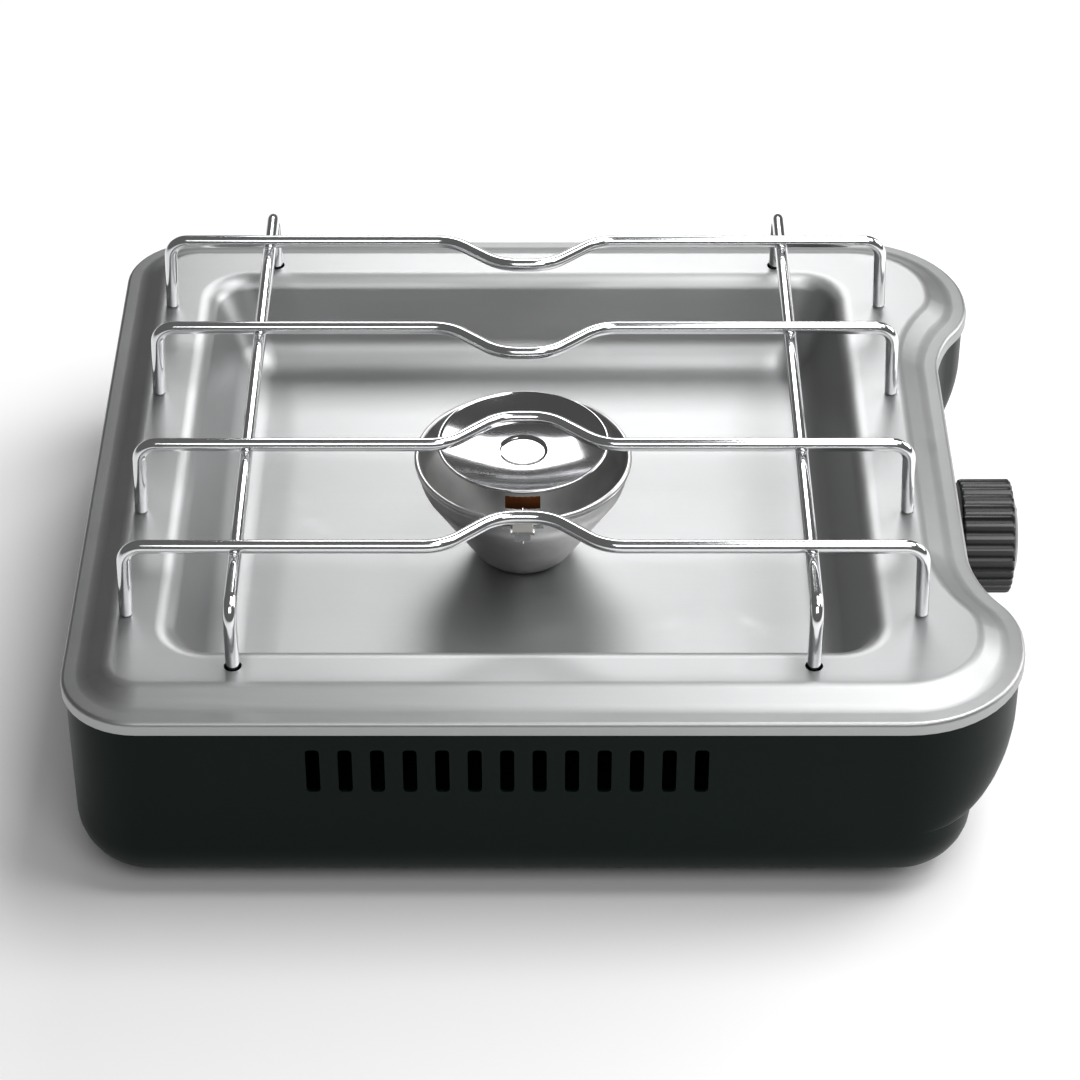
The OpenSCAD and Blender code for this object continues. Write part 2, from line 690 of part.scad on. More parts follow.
union_nut_h = 9;
feed_r = 3;
feed_bore_r = 2;
feed_deep = 6;            // how far the tube reaches into its union at each end
inlet_start_y = rear_y - 28;

module feed_tube() {
    start = feed_y - feed_deep;
    color([0.72, 0.45, 0.25]) difference() {
        along_y(inlet_x, start, axis_z) cylinder(h = inlet_start_y + feed_deep - start, r = feed_r);
        along_y(inlet_x, start - 1, axis_z) cylinder(h = rear_y, r = feed_bore_r);
    }
}

module tube_nuts() {
    color([0.75, 0.62, 0.32]) for (y = [feed_y, inlet_start_y - union_nut_h])
        difference() {
            along_y(inlet_x, y, axis_z) hex(14, union_nut_h);
            along_y(inlet_x, y - 1, axis_z) cylinder(h = union_nut_h + 2, r = feed_r + joint_gap);
        }
}

module inlet_fitting() {
    color([0.75, 0.62, 0.32]) difference() {
        union() {
            along_y(inlet_x, inlet_start_y, axis_z) cylinder(h = 24, r = 6.5);
            along_y(inlet_x, rear_y - 8, axis_z) hex(20, 8 - tub_t - 0.2);
            along_y(inlet_x, rear_y - tub_t - 1, axis_z)
                cylinder(h = tub_t + 1 + inlet_nut_h + 0.2, r = inlet_r);
            along_y(inlet_x, rear_y, axis_z) cylinder(h = inlet_out, r = spigot_r);
        }
        along_y(inlet_x, inlet_start_y - 1, axis_z) cylinder(h = 9, r = feed_r + joint_gap);
        along_y(inlet_x, inlet_start_y, axis_z) cylinder(h = 60, r = feed_bore_r);
        along_y(inlet_x, rear_y + 2, axis_z) cylinder(h = inlet_out, r = 4.6);
    }
}

module inlet_nut() {
    color("silver") difference() {
        along_y(inlet_x, rear_y, axis_z) hex(21, inlet_nut_h);
        along_y(inlet_x, rear_y - 1, axis_z) cylinder(h = 6, r = inlet_r + 0.02);
    }
}

// Piezo igniter on the floor of the tub beside the valve
module igniter() {
    color([0.1, 0.1, 0.11]) {
        translate([valve_x - 26, -30, tub_floor_z]) cube([30, 13, 12]);
        along_x(valve_x + 4, -23.5, tub_floor_z + 6) cylinder(h = 4, r = 2.5);
    }
}

base_shell();
rubber_feet();
foot_screws();
drip_tray();
tray_posts();
post_screws();
rod_front_outer();
rod_front_inner();
rod_rear_inner();
rod_rear_outer();
rail_left();
rail_right();
burner_cap();
burner_ring();
burner_bowl();
burner_neck();
neck_nut();
electrode_ceramic();
electrode_pin();
electrode_clip();
mixing_tube();
gas_jet();
valve_body();
valve_bracket();
bracket_screws();
shaft_bush();
push_sleeve();
valve_stem();
knob();
knob_face();
knob_pointer();
feed_tube();
tube_nuts();
inlet_fitting();
inlet_nut();
igniter();
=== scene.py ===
# Looks of a single-burner camping stove, laid out as a Blender add-on. Each operator models one group
# of pieces round the fixed frame and gives it its finish; the stage operator sets floor, light and camera.
import math
import bmesh
import bpy
from bpy.props import FloatProperty, FloatVectorProperty, IntProperty, PointerProperty
from mathutils import Matrix, Vector


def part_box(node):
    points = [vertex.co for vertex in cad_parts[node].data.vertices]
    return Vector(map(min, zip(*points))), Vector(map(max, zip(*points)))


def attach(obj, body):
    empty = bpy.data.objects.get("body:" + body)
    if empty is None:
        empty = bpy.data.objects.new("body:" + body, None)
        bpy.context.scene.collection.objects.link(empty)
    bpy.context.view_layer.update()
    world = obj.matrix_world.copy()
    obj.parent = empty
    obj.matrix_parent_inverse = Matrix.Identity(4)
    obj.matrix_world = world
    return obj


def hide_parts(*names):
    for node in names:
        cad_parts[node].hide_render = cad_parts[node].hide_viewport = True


bl_info = {
    "name": "Camping stove",
    "version": (1, 0, 0),
    "blender": (4, 5, 0),
    "location": "View3D > Sidebar > Stove",
    "description": "Models and finishes a single-burner camping stove piece by piece",
    "category": "Object",
}

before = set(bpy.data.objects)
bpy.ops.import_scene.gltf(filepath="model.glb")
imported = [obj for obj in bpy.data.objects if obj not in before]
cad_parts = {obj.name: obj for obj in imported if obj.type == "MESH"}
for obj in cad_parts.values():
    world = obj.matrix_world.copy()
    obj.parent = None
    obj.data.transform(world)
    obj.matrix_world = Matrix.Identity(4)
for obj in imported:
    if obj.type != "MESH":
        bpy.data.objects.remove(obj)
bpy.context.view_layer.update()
TRAY_LOW, TRAY_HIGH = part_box("drip_tray")
TUB_LOW, TUB_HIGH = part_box("base_shell")
CAP_LOW, CAP_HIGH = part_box("burner_cap")
BOWL_LOW, BOWL_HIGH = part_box("burner_bowl")
KNOB_LOW, KNOB_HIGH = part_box("knob")
ROD_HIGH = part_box("rod_front_outer")[1]
RAIL_LOW, RAIL_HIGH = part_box("rail_right")
CERAMIC_LOW, CERAMIC_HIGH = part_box("electrode_ceramic")
INLET_LOW, INLET_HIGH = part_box("inlet_fitting")
BURNER = (CAP_LOW + CAP_HIGH) / 2
MM = 0.001
WIRE_R = 2.5 * MM
RAIL_X, RAIL_END_Y = RAIL_HIGH.x - WIRE_R, RAIL_HIGH.y - WIRE_R
CAMERA_AT = (0.00586, -1.06715, 0.86992)
CAMERA_DIP = 37.64        # degrees below level


# ---------- modelling by hand, in words ----------

def deselect():
    if bpy.context.mode != "OBJECT":
        bpy.ops.object.mode_set(mode="OBJECT")
    bpy.ops.object.select_all(action="DESELECT")


def begin(add, name, **place):
    """Adds a primitive with nothing else selected and opens it for editing, its place in its mesh."""
    deselect()
    add(**place)
    obj = bpy.context.active_object
    obj.name = obj.data.name = name
    bpy.ops.object.transform_apply(location=True, rotation=True, scale=True)
    bpy.ops.object.mode_set(mode="EDIT")
    return obj


def pick(obj, kind, test):
    """Selects the vertices, edges or faces that pass a test of their place."""
    bpy.ops.mesh.select_mode(type=kind)
    bpy.ops.mesh.select_all(action="DESELECT")
    mesh = bmesh.from_edit_mesh(obj.data)
    for part in {"VERT": mesh.verts, "EDGE": mesh.edges, "FACE": mesh.faces}[kind]:
        if test(part):
            part.select_set(True)
    mesh.select_flush_mode()
    bmesh.update_edit_mesh(obj.data)


def near(a, b, gap=0.02 * MM):
    return abs(a - b) < gap


def at_height(edge, z):
    return all(near(v.co.z, z) for v in edge.verts)


def folded(edge):
    return edge.calc_face_angle(0) > math.radians(20)


def lies_along_y(edge):
    a, b = edge.verts
    return near(a.co.x, b.co.x) and near(a.co.z, b.co.z)


def beside(edge, low, high):
    """True where a face beside the edge is that level: 0 is upright and 1 is level."""
    return any(low < abs(f.normal.z) < high and f.normal.length > 0.5 for f in edge.link_faces)


def move(x=0, y=0, z=0):
    bpy.ops.transform.translate(value=(x, y, z))


def draw_out(x=0, y=0, z=0):
    bpy.ops.mesh.extrude_region_move(TRANSFORM_OT_translate={"value": (x, y, z)})


def round_edges(radius, segments=4):
    bpy.ops.mesh.bevel(offset=radius, segments=segments, affect="EDGES", clamp_overlap=False)


def round_corners(radius, segments=8):
    bpy.ops.mesh.bevel(offset=radius, segments=segments, affect="VERTICES", clamp_overlap=False)


def outwards(obj, up=None):
    """Merges doubles and turns the faces outwards. For an open sheet, up is a face that must look up."""
    bpy.ops.mesh.select_all(action="SELECT")
    bpy.ops.mesh.remove_doubles(threshold=0.002 * MM)
    bpy.ops.mesh.normals_make_consistent(inside=False)
    if up is not None:
        mesh = bmesh.from_edit_mesh(obj.data)
        if any(up(f) and f.normal.z < 0 for f in mesh.faces):
            bpy.ops.mesh.flip_normals()
    bpy.ops.object.mode_set(mode="OBJECT")


def apply_modifier(obj, kind, **settings):
    deselect()
    obj.select_set(True)
    bpy.context.view_layer.objects.active = obj
    mod = obj.modifiers.new(kind.title(), kind)
    for key, value in settings.items():
        setattr(mod, key, value)
    bpy.ops.object.modifier_apply(modifier=mod.name)


def cut(obj, cutters):
    """Cuts the joined cutters out of a piece and throws them away."""
    cutter = join(cutters)
    apply_modifier(obj, "BOOLEAN", operation="DIFFERENCE", object=cutter, solver="EXACT")
    bpy.data.objects.remove(cutter)


def join(objects):
    deselect()
    for obj in objects:
        obj.select_set(True)
    bpy.context.view_layer.objects.active = objects[0]
    if len(objects) > 1:
        bpy.ops.object.join()
    return objects[0]


def smooth(obj, degrees=32, weighted=True):
    deselect()
    obj.select_set(True)
    bpy.context.view_layer.objects.active = obj
    bpy.ops.object.shade_smooth_by_angle(angle=math.radians(degrees))
    if weighted:
        apply_modifier(obj, "WEIGHTED_NORMAL", keep_sharp=True, weight=90)


def again(obj, turn=None, shift=None, about=(0, 0, 0)):
    """A copy with its own mesh, turned about Z by degrees and shifted."""
    deselect()
    obj.select_set(True)
    bpy.context.view_layer.objects.active = obj
    bpy.ops.object.duplicate(linked=False)
    copy = bpy.context.active_object
    bpy.ops.object.mode_set(mode="EDIT")
    bpy.ops.mesh.select_all(action="SELECT")
    if turn:
        bpy.ops.transform.rotate(value=-math.radians(turn), orient_axis="Z", center_override=about)
    if shift:
        move(*shift)
    bpy.ops.object.mode_set(mode="OBJECT")
    return copy


def turned(name, centre, profile, sides=96, closed=True):
    """A piece turned about an upright axis: a ring is drawn out and scaled along (radius, height) pairs.
    A profile that doesn't end where it starts isn't closed, and gets its two ends filled."""
    (r, z), rest = profile[0], profile[1:]
    obj = begin(bpy.ops.mesh.primitive_circle_add, name, vertices=sides, radius=r, fill_type="NOTHING",
                location=(centre[0], centre[1], z))
    bpy.ops.mesh.select_all(action="SELECT")
    for r_next, z_next in rest:
        draw_out(z=z_next - z)
        k = r_next / r
        bpy.ops.transform.resize(value=(k, k, 1), center_override=(centre[0], centre[1], z_next))
        r, z = r_next, z_next
    if not closed:
        for end in (profile[0], profile[-1]):
            if end[0] < 0.2 * MM:
                pick(obj, "VERT", lambda v: near(v.co.z, end[1]) and
                     math.hypot(v.co.x - centre[0], v.co.y - centre[1]) < 0.3 * MM)
                bpy.ops.mesh.merge(type="CENTER")
            else:
                pick(obj, "EDGE", lambda e: e.is_boundary and at_height(e, end[1]))
                bpy.ops.mesh.edge_face_add()
    outwards(obj)
    return obj


def lay_along(obj, axis, pivot=(0, 0, 0)):
    """Turns a piece that was turned upright so that its own Z lies along X or Y."""
    deselect()
    obj.select_set(True)
    bpy.context.view_layer.objects.active = obj
    x, y, z = 0, 1, 2
    order = (z, x, y) if axis == "X" else (y, z, x)
    for v in obj.data.vertices:
        v.co = Vector([v.co[i] for i in order]) + Vector(pivot)
    return obj


def arc(cx, cz, r, a0, a1, steps=6):
    """Points of a bend in a profile, in degrees from level outwards."""
    turn = [math.radians(a0 + (a1 - a0) * i / steps) for i in range(steps + 1)]
    return [(cx + r * math.cos(a), cz + r * math.sin(a)) for a in turn]


def bent_wire(name, at, heading, moves, radius, sides=20):
    """A round wire: a disc is added at its start, then drawn straight, or spun round each bend.
    A move is a length, or (axis, degrees, bend radius)."""
    at, heading = Vector(at), Vector(heading).normalized()
    obj = begin(bpy.ops.mesh.primitive_circle_add, name, vertices=sides, radius=radius, fill_type="NGON",
                location=at, rotation=heading.to_track_quat("Z", "Y").to_euler())
    bpy.ops.mesh.select_mode(type="FACE")
    bpy.ops.mesh.select_all(action="SELECT")
    for step in moves:
        if isinstance(step, float):
            draw_out(*(heading * step))
            at += heading * step
            continue
        axis, degrees, bend = step
        axis = Vector(axis)
        centre = at + bend * axis.cross(heading)
        bpy.ops.mesh.spin(steps=max(2, round(degrees / 7)), angle=-math.radians(degrees), center=centre,
                          axis=axis, dupli=False)
        swing = Matrix.Rotation(math.radians(degrees), 3, axis)
        at, heading = centre + swing @ (at - centre), swing @ heading
    tip = [f for f in bmesh.from_edit_mesh(obj.data).faces if f.select]
    if not tip or (tip[0].calc_center_median() - at).length > 0.05 * MM:
        raise RuntimeError(name + ": the wire's end isn't where its bends should bring it")
    ends = [f for f in bmesh.from_edit_mesh(obj.data).faces if len(f.verts) > 4]
    rims = {e.index for f in ends for e in f.edges}
    pick(obj, "EDGE", lambda e: e.index in rims)
    round_edges(radius * 0.22, 2)
    outwards(obj)
    return obj


# ---------- shader arithmetic ----------

class Value:
    """A number that varies over a surface. Arithmetic on it adds the Math nodes."""

    def __init__(self, finish, socket):
        self.finish, self.socket = finish, socket

    def math(self, operation, *others):
        inputs = dict(enumerate((self, *others)))
        return self.finish.node("ShaderNodeMath", {"operation": operation}, inputs)

    def __add__(self, other): return self.math("ADD", other)
    __radd__ = __add__
    def __mul__(self, other): return self.math("MULTIPLY", other)
    __rmul__ = __mul__
    def __sub__(self, other): return self.math("SUBTRACT", other)
    def __rsub__(self, other): return (self * -1.0) + other
    def clamped(self): return self.finish.node("ShaderNodeClamp", {}, {"Value": self})


class Finish:
    """A procedural material, made node by node."""

    def __init__(self, name, shader):
        self.material = bpy.data.materials.new(name)
        self.material.use_nodes = True
        self.tree = self.material.node_tree
        self.tree.nodes.clear()
        self.coords = self.node("ShaderNodeTexCoord", output="Object")
        self.shader = shader
        self.links = {}

    def node(self, kind, settings=None, inputs=None, output=0):
        made = self.tree.nodes.new(kind)
        for key, value in (settings or {}).items():
            if key == "stops":
                ramp = made.color_ramp.elements
                while len(ramp) < len(value):
                    ramp.new(0.5)
                for stop, (place, colour) in zip(ramp, value):
                    stop.position, stop.color = place, colour
            else:
                setattr(made, key, value)
        for key, value in (inputs or {}).items():
            self.feed(made.inputs[key], value)
        return Value(self, made.outputs[output])

    def feed(self, socket, value):
        if isinstance(value, Value):
            self.tree.links.new(value.socket, socket)
        elif socket.type == "RGBA":
            socket.default_value = (*value[:3], 1)
        else:
            socket.default_value = value

    def scaled(self, stretch):
        return self.node("ShaderNodeMapping", {}, {"Vector": self.coords, "Scale": stretch})

    def noise(self, scale, detail=2.0, stretch=(1, 1, 1), roughness=0.5):
        return self.node("ShaderNodeTexNoise", {}, {"Vector": self.scaled(stretch), "Scale": scale,
                                                     "Detail": detail, "Roughness": roughness})

    def blend(self, factor, a, b):
        return self.node("ShaderNodeMix", {"data_type": "RGBA"}, {0: factor, 6: a, 7: b}, output=2)

    def bump(self, height, strength, distance, under=None):
        inputs = {"Height": height, "Strength": strength, "Distance": distance}
        if under is not None:
            inputs["Normal"] = under
        return self.node("ShaderNodeBump", {}, inputs)

    def done(self, **sockets):
        shader = self.tree.nodes.new("ShaderNodeBsdfPrincipled")
        for key, value in {**self.shader, **sockets}.items():
            self.feed(shader.inputs[key.replace("_", " ")], value)
        out = self.tree.nodes.new("ShaderNodeOutputMaterial")
        self.tree.links.new(shader.outputs[0], out.inputs[0])
        return self.material


def tint(colour, k):
    return tuple(min(1, c * k) for c in colour)


def satin_sheet(name, colour, roughness):
    """Satin-coated sheet steel: a fine pebbled coat over faint rolling lines along X, a little handled."""
    f = Finish(name, {"Metallic": 1.0})
    pebbles = f.noise(1900, 3, roughness=0.6)
    lines = f.noise(700, 2, stretch=(0.05, 1, 1))
    cloud = f.noise(11, 3)
    smudge = f.noise(42, 4, roughness=0.65)
    rub = (smudge - 0.62).clamped() * 1.4
    tone = (pebbles * 0.35 + cloud * 0.45 + lines * 0.2).clamped()
    return f.done(
        Base_Color=f.blend(tone, tint(colour, 0.86), tint(colour, 1.14)),
        Roughness=roughness - 0.06 + 0.09 * pebbles + 0.05 * lines + 0.06 * cloud - rub * 0.25,
        Normal=f.bump(pebbles, 0.22, 0.05 * MM, f.bump(lines, 0.12, 0.03 * MM)))


def bright_plate(name, colour, roughness, waviness=0.05):
    """Bright plating: mirror-like, with a faint mottle, dust and a slight waviness."""
    f = Finish(name, {"Metallic": 1.0})
    wave = f.noise(160, 2)
    dust = f.noise(2600, 2)
    cloud = f.noise(30, 4, roughness=0.6)
    specks = (dust - 0.66).clamped() * 2.2
    return f.done(
        Base_Color=f.blend((specks + cloud * 0.25).clamped(), colour, tint(colour, 0.80)),
        Roughness=roughness + 0.05 * cloud + specks * 0.3,
        Normal=f.bump(wave, waviness, 0.06 * MM, f.bump(dust, 0.03, 0.01 * MM)))


def turned_metal(name, colour, roughness, pitch=900, grain=0.16):
    """Machined or plated metal with fine tool marks and a mottled tone."""
    f = Finish(name, {"Metallic": 1.0})
    marks = f.noise(pitch, 2, stretch=(1, 1, 0.3))
    mottle = f.noise(90, 3)
    return f.done(
        Base_Color=f.blend(mottle, tint(colour, 0.78), tint(colour, 1.12)),
        Roughness=roughness - 0.05 + 0.1 * marks + 0.08 * mottle,
        Normal=f.bump(marks, grain, 0.04 * MM))


def enamel(name, colour):
    """Satin baked enamel with a light orange peel, dust in the coat and a cloudy tone."""
    f = Finish(name, {"Metallic": 0.0, "IOR": 1.5, "Specular IOR Level": 0.09})
    peel = f.noise(520, 2)
    dust = f.noise(3000, 2)
    cloud = f.noise(14, 3)
    return f.done(
        Base_Color=f.blend(cloud, tint(colour, 0.82), tint(colour, 1.2)),
        Roughness=0.33 + 0.05 * cloud + 0.06 * dust,
        Normal=f.bump(peel, 0.10, 0.05 * MM, f.bump(dust, 0.08, 0.01 * MM)))


def moulded(name, colour, roughness, texture=0.25, scale=2400):
    """Moulded plastic or rubber with a fine spark-eroded grain."""
    f = Finish(name, {"Metallic": 0.0, "IOR": 1.47})
    grain = f.noise(scale, 3, roughness=0.6)
    cloud = f.noise(35, 3)
    return f.done(
        Base_Color=f.blend((cloud * 0.6 + grain * 0.4).clamped(), tint(colour, 0.75), tint(colour, 1.25)),
        Roughness=roughness - 0.05 + 0.08 * grain + 0.05 * cloud,
        Normal=f.bump(grain, texture, 0.03 * MM))


def fired_clay(name, colour):
    """Unglazed white ceramic with pores and a few grey specks."""
    f = Finish(name, {"Metallic": 0.0, "IOR": 1.5})
    pores = f.noise(1800, 3)
    specks = (f.noise(900, 1) - 0.68).clamped() * 5.0
    return f.done(
        Base_Color=f.blend(specks.clamped(), colour, tint(colour, 0.55)),
        Roughness=0.42 + 0.15 * pores,
        Normal=f.bump(pores, 0.3, 0.04 * MM))


def dress(names, material):
    """Gives CAD nodes their finish."""
    for name in names:
        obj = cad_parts[name]
        obj.data.materials.clear()
        obj.data.materials.append(material)


def place(obj, body, material, slot, *nodes):
    """Finishes a new piece, lets it ride on its body, and hides the CAD nodes it stands for."""
    obj.data.materials.clear()
    obj.data.materials.append(material)
    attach(obj, body)
    if nodes:
        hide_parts(*nodes)


# ---------- sizes and colours a user would change ----------

def length(name, text, value):
    return FloatProperty(name=name, description=text, default=value, subtype="DISTANCE", unit="LENGTH")


def colour(name, text, value):
    return FloatVectorProperty(name=name, description=text, default=value, subtype="COLOR", min=0, max=1)


class StoveTrayProps(bpy.types.PropertyGroup):
    half_width: length("Half width", "Middle to the straight left edge", -TRAY_LOW.x)
    half_depth: length("Half depth", "Middle to the front edge", -TRAY_LOW.y)
    ear_reach: length("Ear reach", "How far the ears stand out on the knob side", TRAY_HIGH.x + TRAY_LOW.x)
    shoulder: length("Shoulder height", "Height of the level shoulder", TRAY_HIGH.z)
    flange_drop: length("Flange drop", "From the shoulder down to the flange", 5 * MM)
    flange_fall: length("Flange fall", "How far the flange falls towards the hem", 0.7 * MM)
    hem: length("Hem height", "Height of the folded hem", 5 * MM)
    flange_width: length("Flange width", "Width of the outer flange", 7.5 * MM)
    slope_width: length("Slope width", "Width of the slope inside the flange", 8.5 * MM)
    well_width: length("Well width", "Width of the well opening", 254 * MM)
    well_depth: length("Well depth", "Depth of the well opening, front to back", 239 * MM)
    floor: length("Floor height", "Height of the well floor", 58 * MM)
    wall_run: length("Wall run", "How far the well's walls lean in", 13 * MM)
    sheet: length("Sheet", "Thickness of the sheet", 1 * MM)
    steel: colour("Steel", "Colour of the satin coat", (0.40, 0.403, 0.406))


class StoveTubProps(bpy.types.PropertyGroup):
    gap: length("Gap", "How far the tub stands in from the tray's edge", 1.3 * MM)
    sheet: length("Sheet", "Thickness of the sheet", 1.2 * MM)
    ear_full: length("Ear full height", "The ears are full above this", 61 * MM)
    ear_end: length("Ear end height", "The ears end here", 32 * MM)
    belly: length("Belly radius", "Radius of the rounded bottom edge", 22 * MM)
    slots: IntProperty(name="Slots", description="Number of air slots", default=13, min=1, max=16)
    slot_pitch: length("Slot pitch", "Distance from slot to slot", 11.44 * MM)
    slot_width: length("Slot width", "Width of a slot", 5 * MM)
    slot_height: length("Slot height", "Height of a slot", 19.5 * MM)
    slot_x: length("Slot row", "Middle of the row of slots", -5.7 * MM)
    slot_z: length("Slot height above ground", "Middle of the slots", 62.8 * MM)
    paint: colour("Paint", "Colour of the enamel", (0.0015, 0.0065, 0.005))


class StoveGrateProps(bpy.types.PropertyGroup):
    leg_span: length("Leg span", "Distance between the legs of a rod, at the top", 285 * MM)
    leg_bend: length("Leg bend", "Radius of the bend into a leg", 6.8 * MM)
    middle_bend: length("Middle bend", "Radius of the bends in the middle of a rod", 18 * MM)
    bend_in: length("Bend in", "How far a rod's middle is bent in", 17.3 * MM)
    bend_angle: FloatProperty(name="Bend angle", description="Turn of each middle bend, degrees", default=42)
    lean: FloatProperty(name="Lean", description="Outward lean of the legs, in degrees", default=2)
    rail_bend: length("Rail bend", "Radius of the bend at a rail's ends", 7 * MM)
    plating: colour("Plating", "Colour of the bright plating", (0.84, 0.85, 0.86))


class StoveBurnerProps(bpy.types.PropertyGroup):
    cap: length("Cap radius", "Radius of the cap", (CAP_HIGH.x - CAP_LOW.x) / 2)
    lip: length("Lip radius", "Radius of the bowl's rolled lip, to its bead", 40 * MM)
    dish: length("Dish", "How far the cap is dished", 5.2 * MM)
    rows: IntProperty(name="Rows", description="Rows of pinholes", default=4, min=1, max=5)
    row_holes: IntProperty(name="Pinholes", description="Pinholes in a row", default=72, min=24, max=96)
    mirror: colour("Mirror", "Colour of the polished metal", (0.52, 0.52, 0.53))
    satin: colour("Satin", "Colour of the satin bowl", (0.60, 0.60, 0.595))
    glow: colour("Window", "Colour of the burnt metal behind the window", (0.16, 0.055, 0.018))


class StoveKnobProps(bpy.types.PropertyGroup):
    radius: length("Radius", "Radius over the ridges", (KNOB_HIGH.z - KNOB_LOW.z) / 2)
    flutes: IntProperty(name="Flutes", description="Flutes round the knob", default=32, min=12, max=48)
    flute_depth: length("Flute depth", "Depth of a flute", 0.85 * MM)
    plastic: colour("Plastic", "Colour of the plastic", (0.012, 0.012, 0.013))


class StoveStageProps(bpy.types.PropertyGroup):
    floor: colour("Floor", "Colour of the floor", (0.93, 0.93, 0.93))
    room: FloatProperty(name="Room light", description="Strength of the room's own light", default=0.12)
    back: FloatProperty(name="Back light", description="Power of the light behind, in watts", default=2.8)
    top: FloatProperty(name="Top light", description="Power of the light above, in watts", default=17)
    side: FloatProperty(name="Side light", description="Power of the knob-side light, in watts", default=14)
    front: FloatProperty(name="Front light", description="Power of the light in front, in watts", default=10)
    lens: FloatProperty(name="Lens", description="Focal length, in millimetres", default=114.88)


# ---------- tray and tub ----------

WAIST_RADIUS, WAIST_START, WAIST_TURN = 45 * MM, 60 * MM, 34
EAR_NOSE, EAR_CORNER, LEFT_CORNER = 30 * MM, 45.5 * MM, 29 * MM


def plate(name, tray, z, s=0.0):
    """A level plate in the tray's outline set in by s, with its two ears and rounded corners."""
    w, d = tray.half_width - s, tray.half_depth - s
    half_turn = math.tan(math.radians(WAIST_TURN / 2))
    waist_y = WAIST_START + WAIST_RADIUS * half_turn + s * half_turn
    nose_y = waist_y + tray.ear_reach / math.tan(math.radians(WAIST_TURN))
    obj = begin(bpy.ops.mesh.primitive_plane_add, name, size=2, location=(0, 0, z))
    bpy.ops.mesh.select_all(action="SELECT")
    bpy.ops.transform.resize(value=(w, d, 1), center_override=(0, 0, z))
    for y in (-nose_y, -waist_y, waist_y, nose_y):
        bpy.ops.mesh.select_all(action="SELECT")
        bpy.ops.mesh.bisect(plane_co=(0, y, z), plane_no=(0, 1, 0))
    pick(obj, "VERT", lambda v: v.co.x > 0 and abs(v.co.y) > nose_y - 0.1 * MM)
    move(x=tray.ear_reach)
    pick(obj, "EDGE", lambda e: not e.is_boundary)
    bpy.ops.mesh.dissolve_edges(use_verts=False)
    pick(obj, "VERT", lambda v: v.co.x < 0 and abs(v.co.y) < d - 0.1 * MM)
    bpy.ops.mesh.dissolve_verts()
    pick(obj, "VERT", lambda v: v.co.x < 0)
    round_corners(LEFT_CORNER - s, 12)
    pick(obj, "VERT", lambda v: near(v.co.x, w + tray.ear_reach) and near(abs(v.co.y), d))
    round_corners(EAR_CORNER - s, 14)
    pick(obj, "VERT", lambda v: near(v.co.x, w + tray.ear_reach) and near(abs(v.co.y), nose_y, 0.1 * MM))
    round_corners((EAR_NOSE - s) * half_turn, 7)
    pick(obj, "VERT", lambda v: near(v.co.x, w) and near(abs(v.co.y), waist_y, 0.1 * MM))
    round_corners((WAIST_RADIUS + s) * half_turn, 9)
    return obj


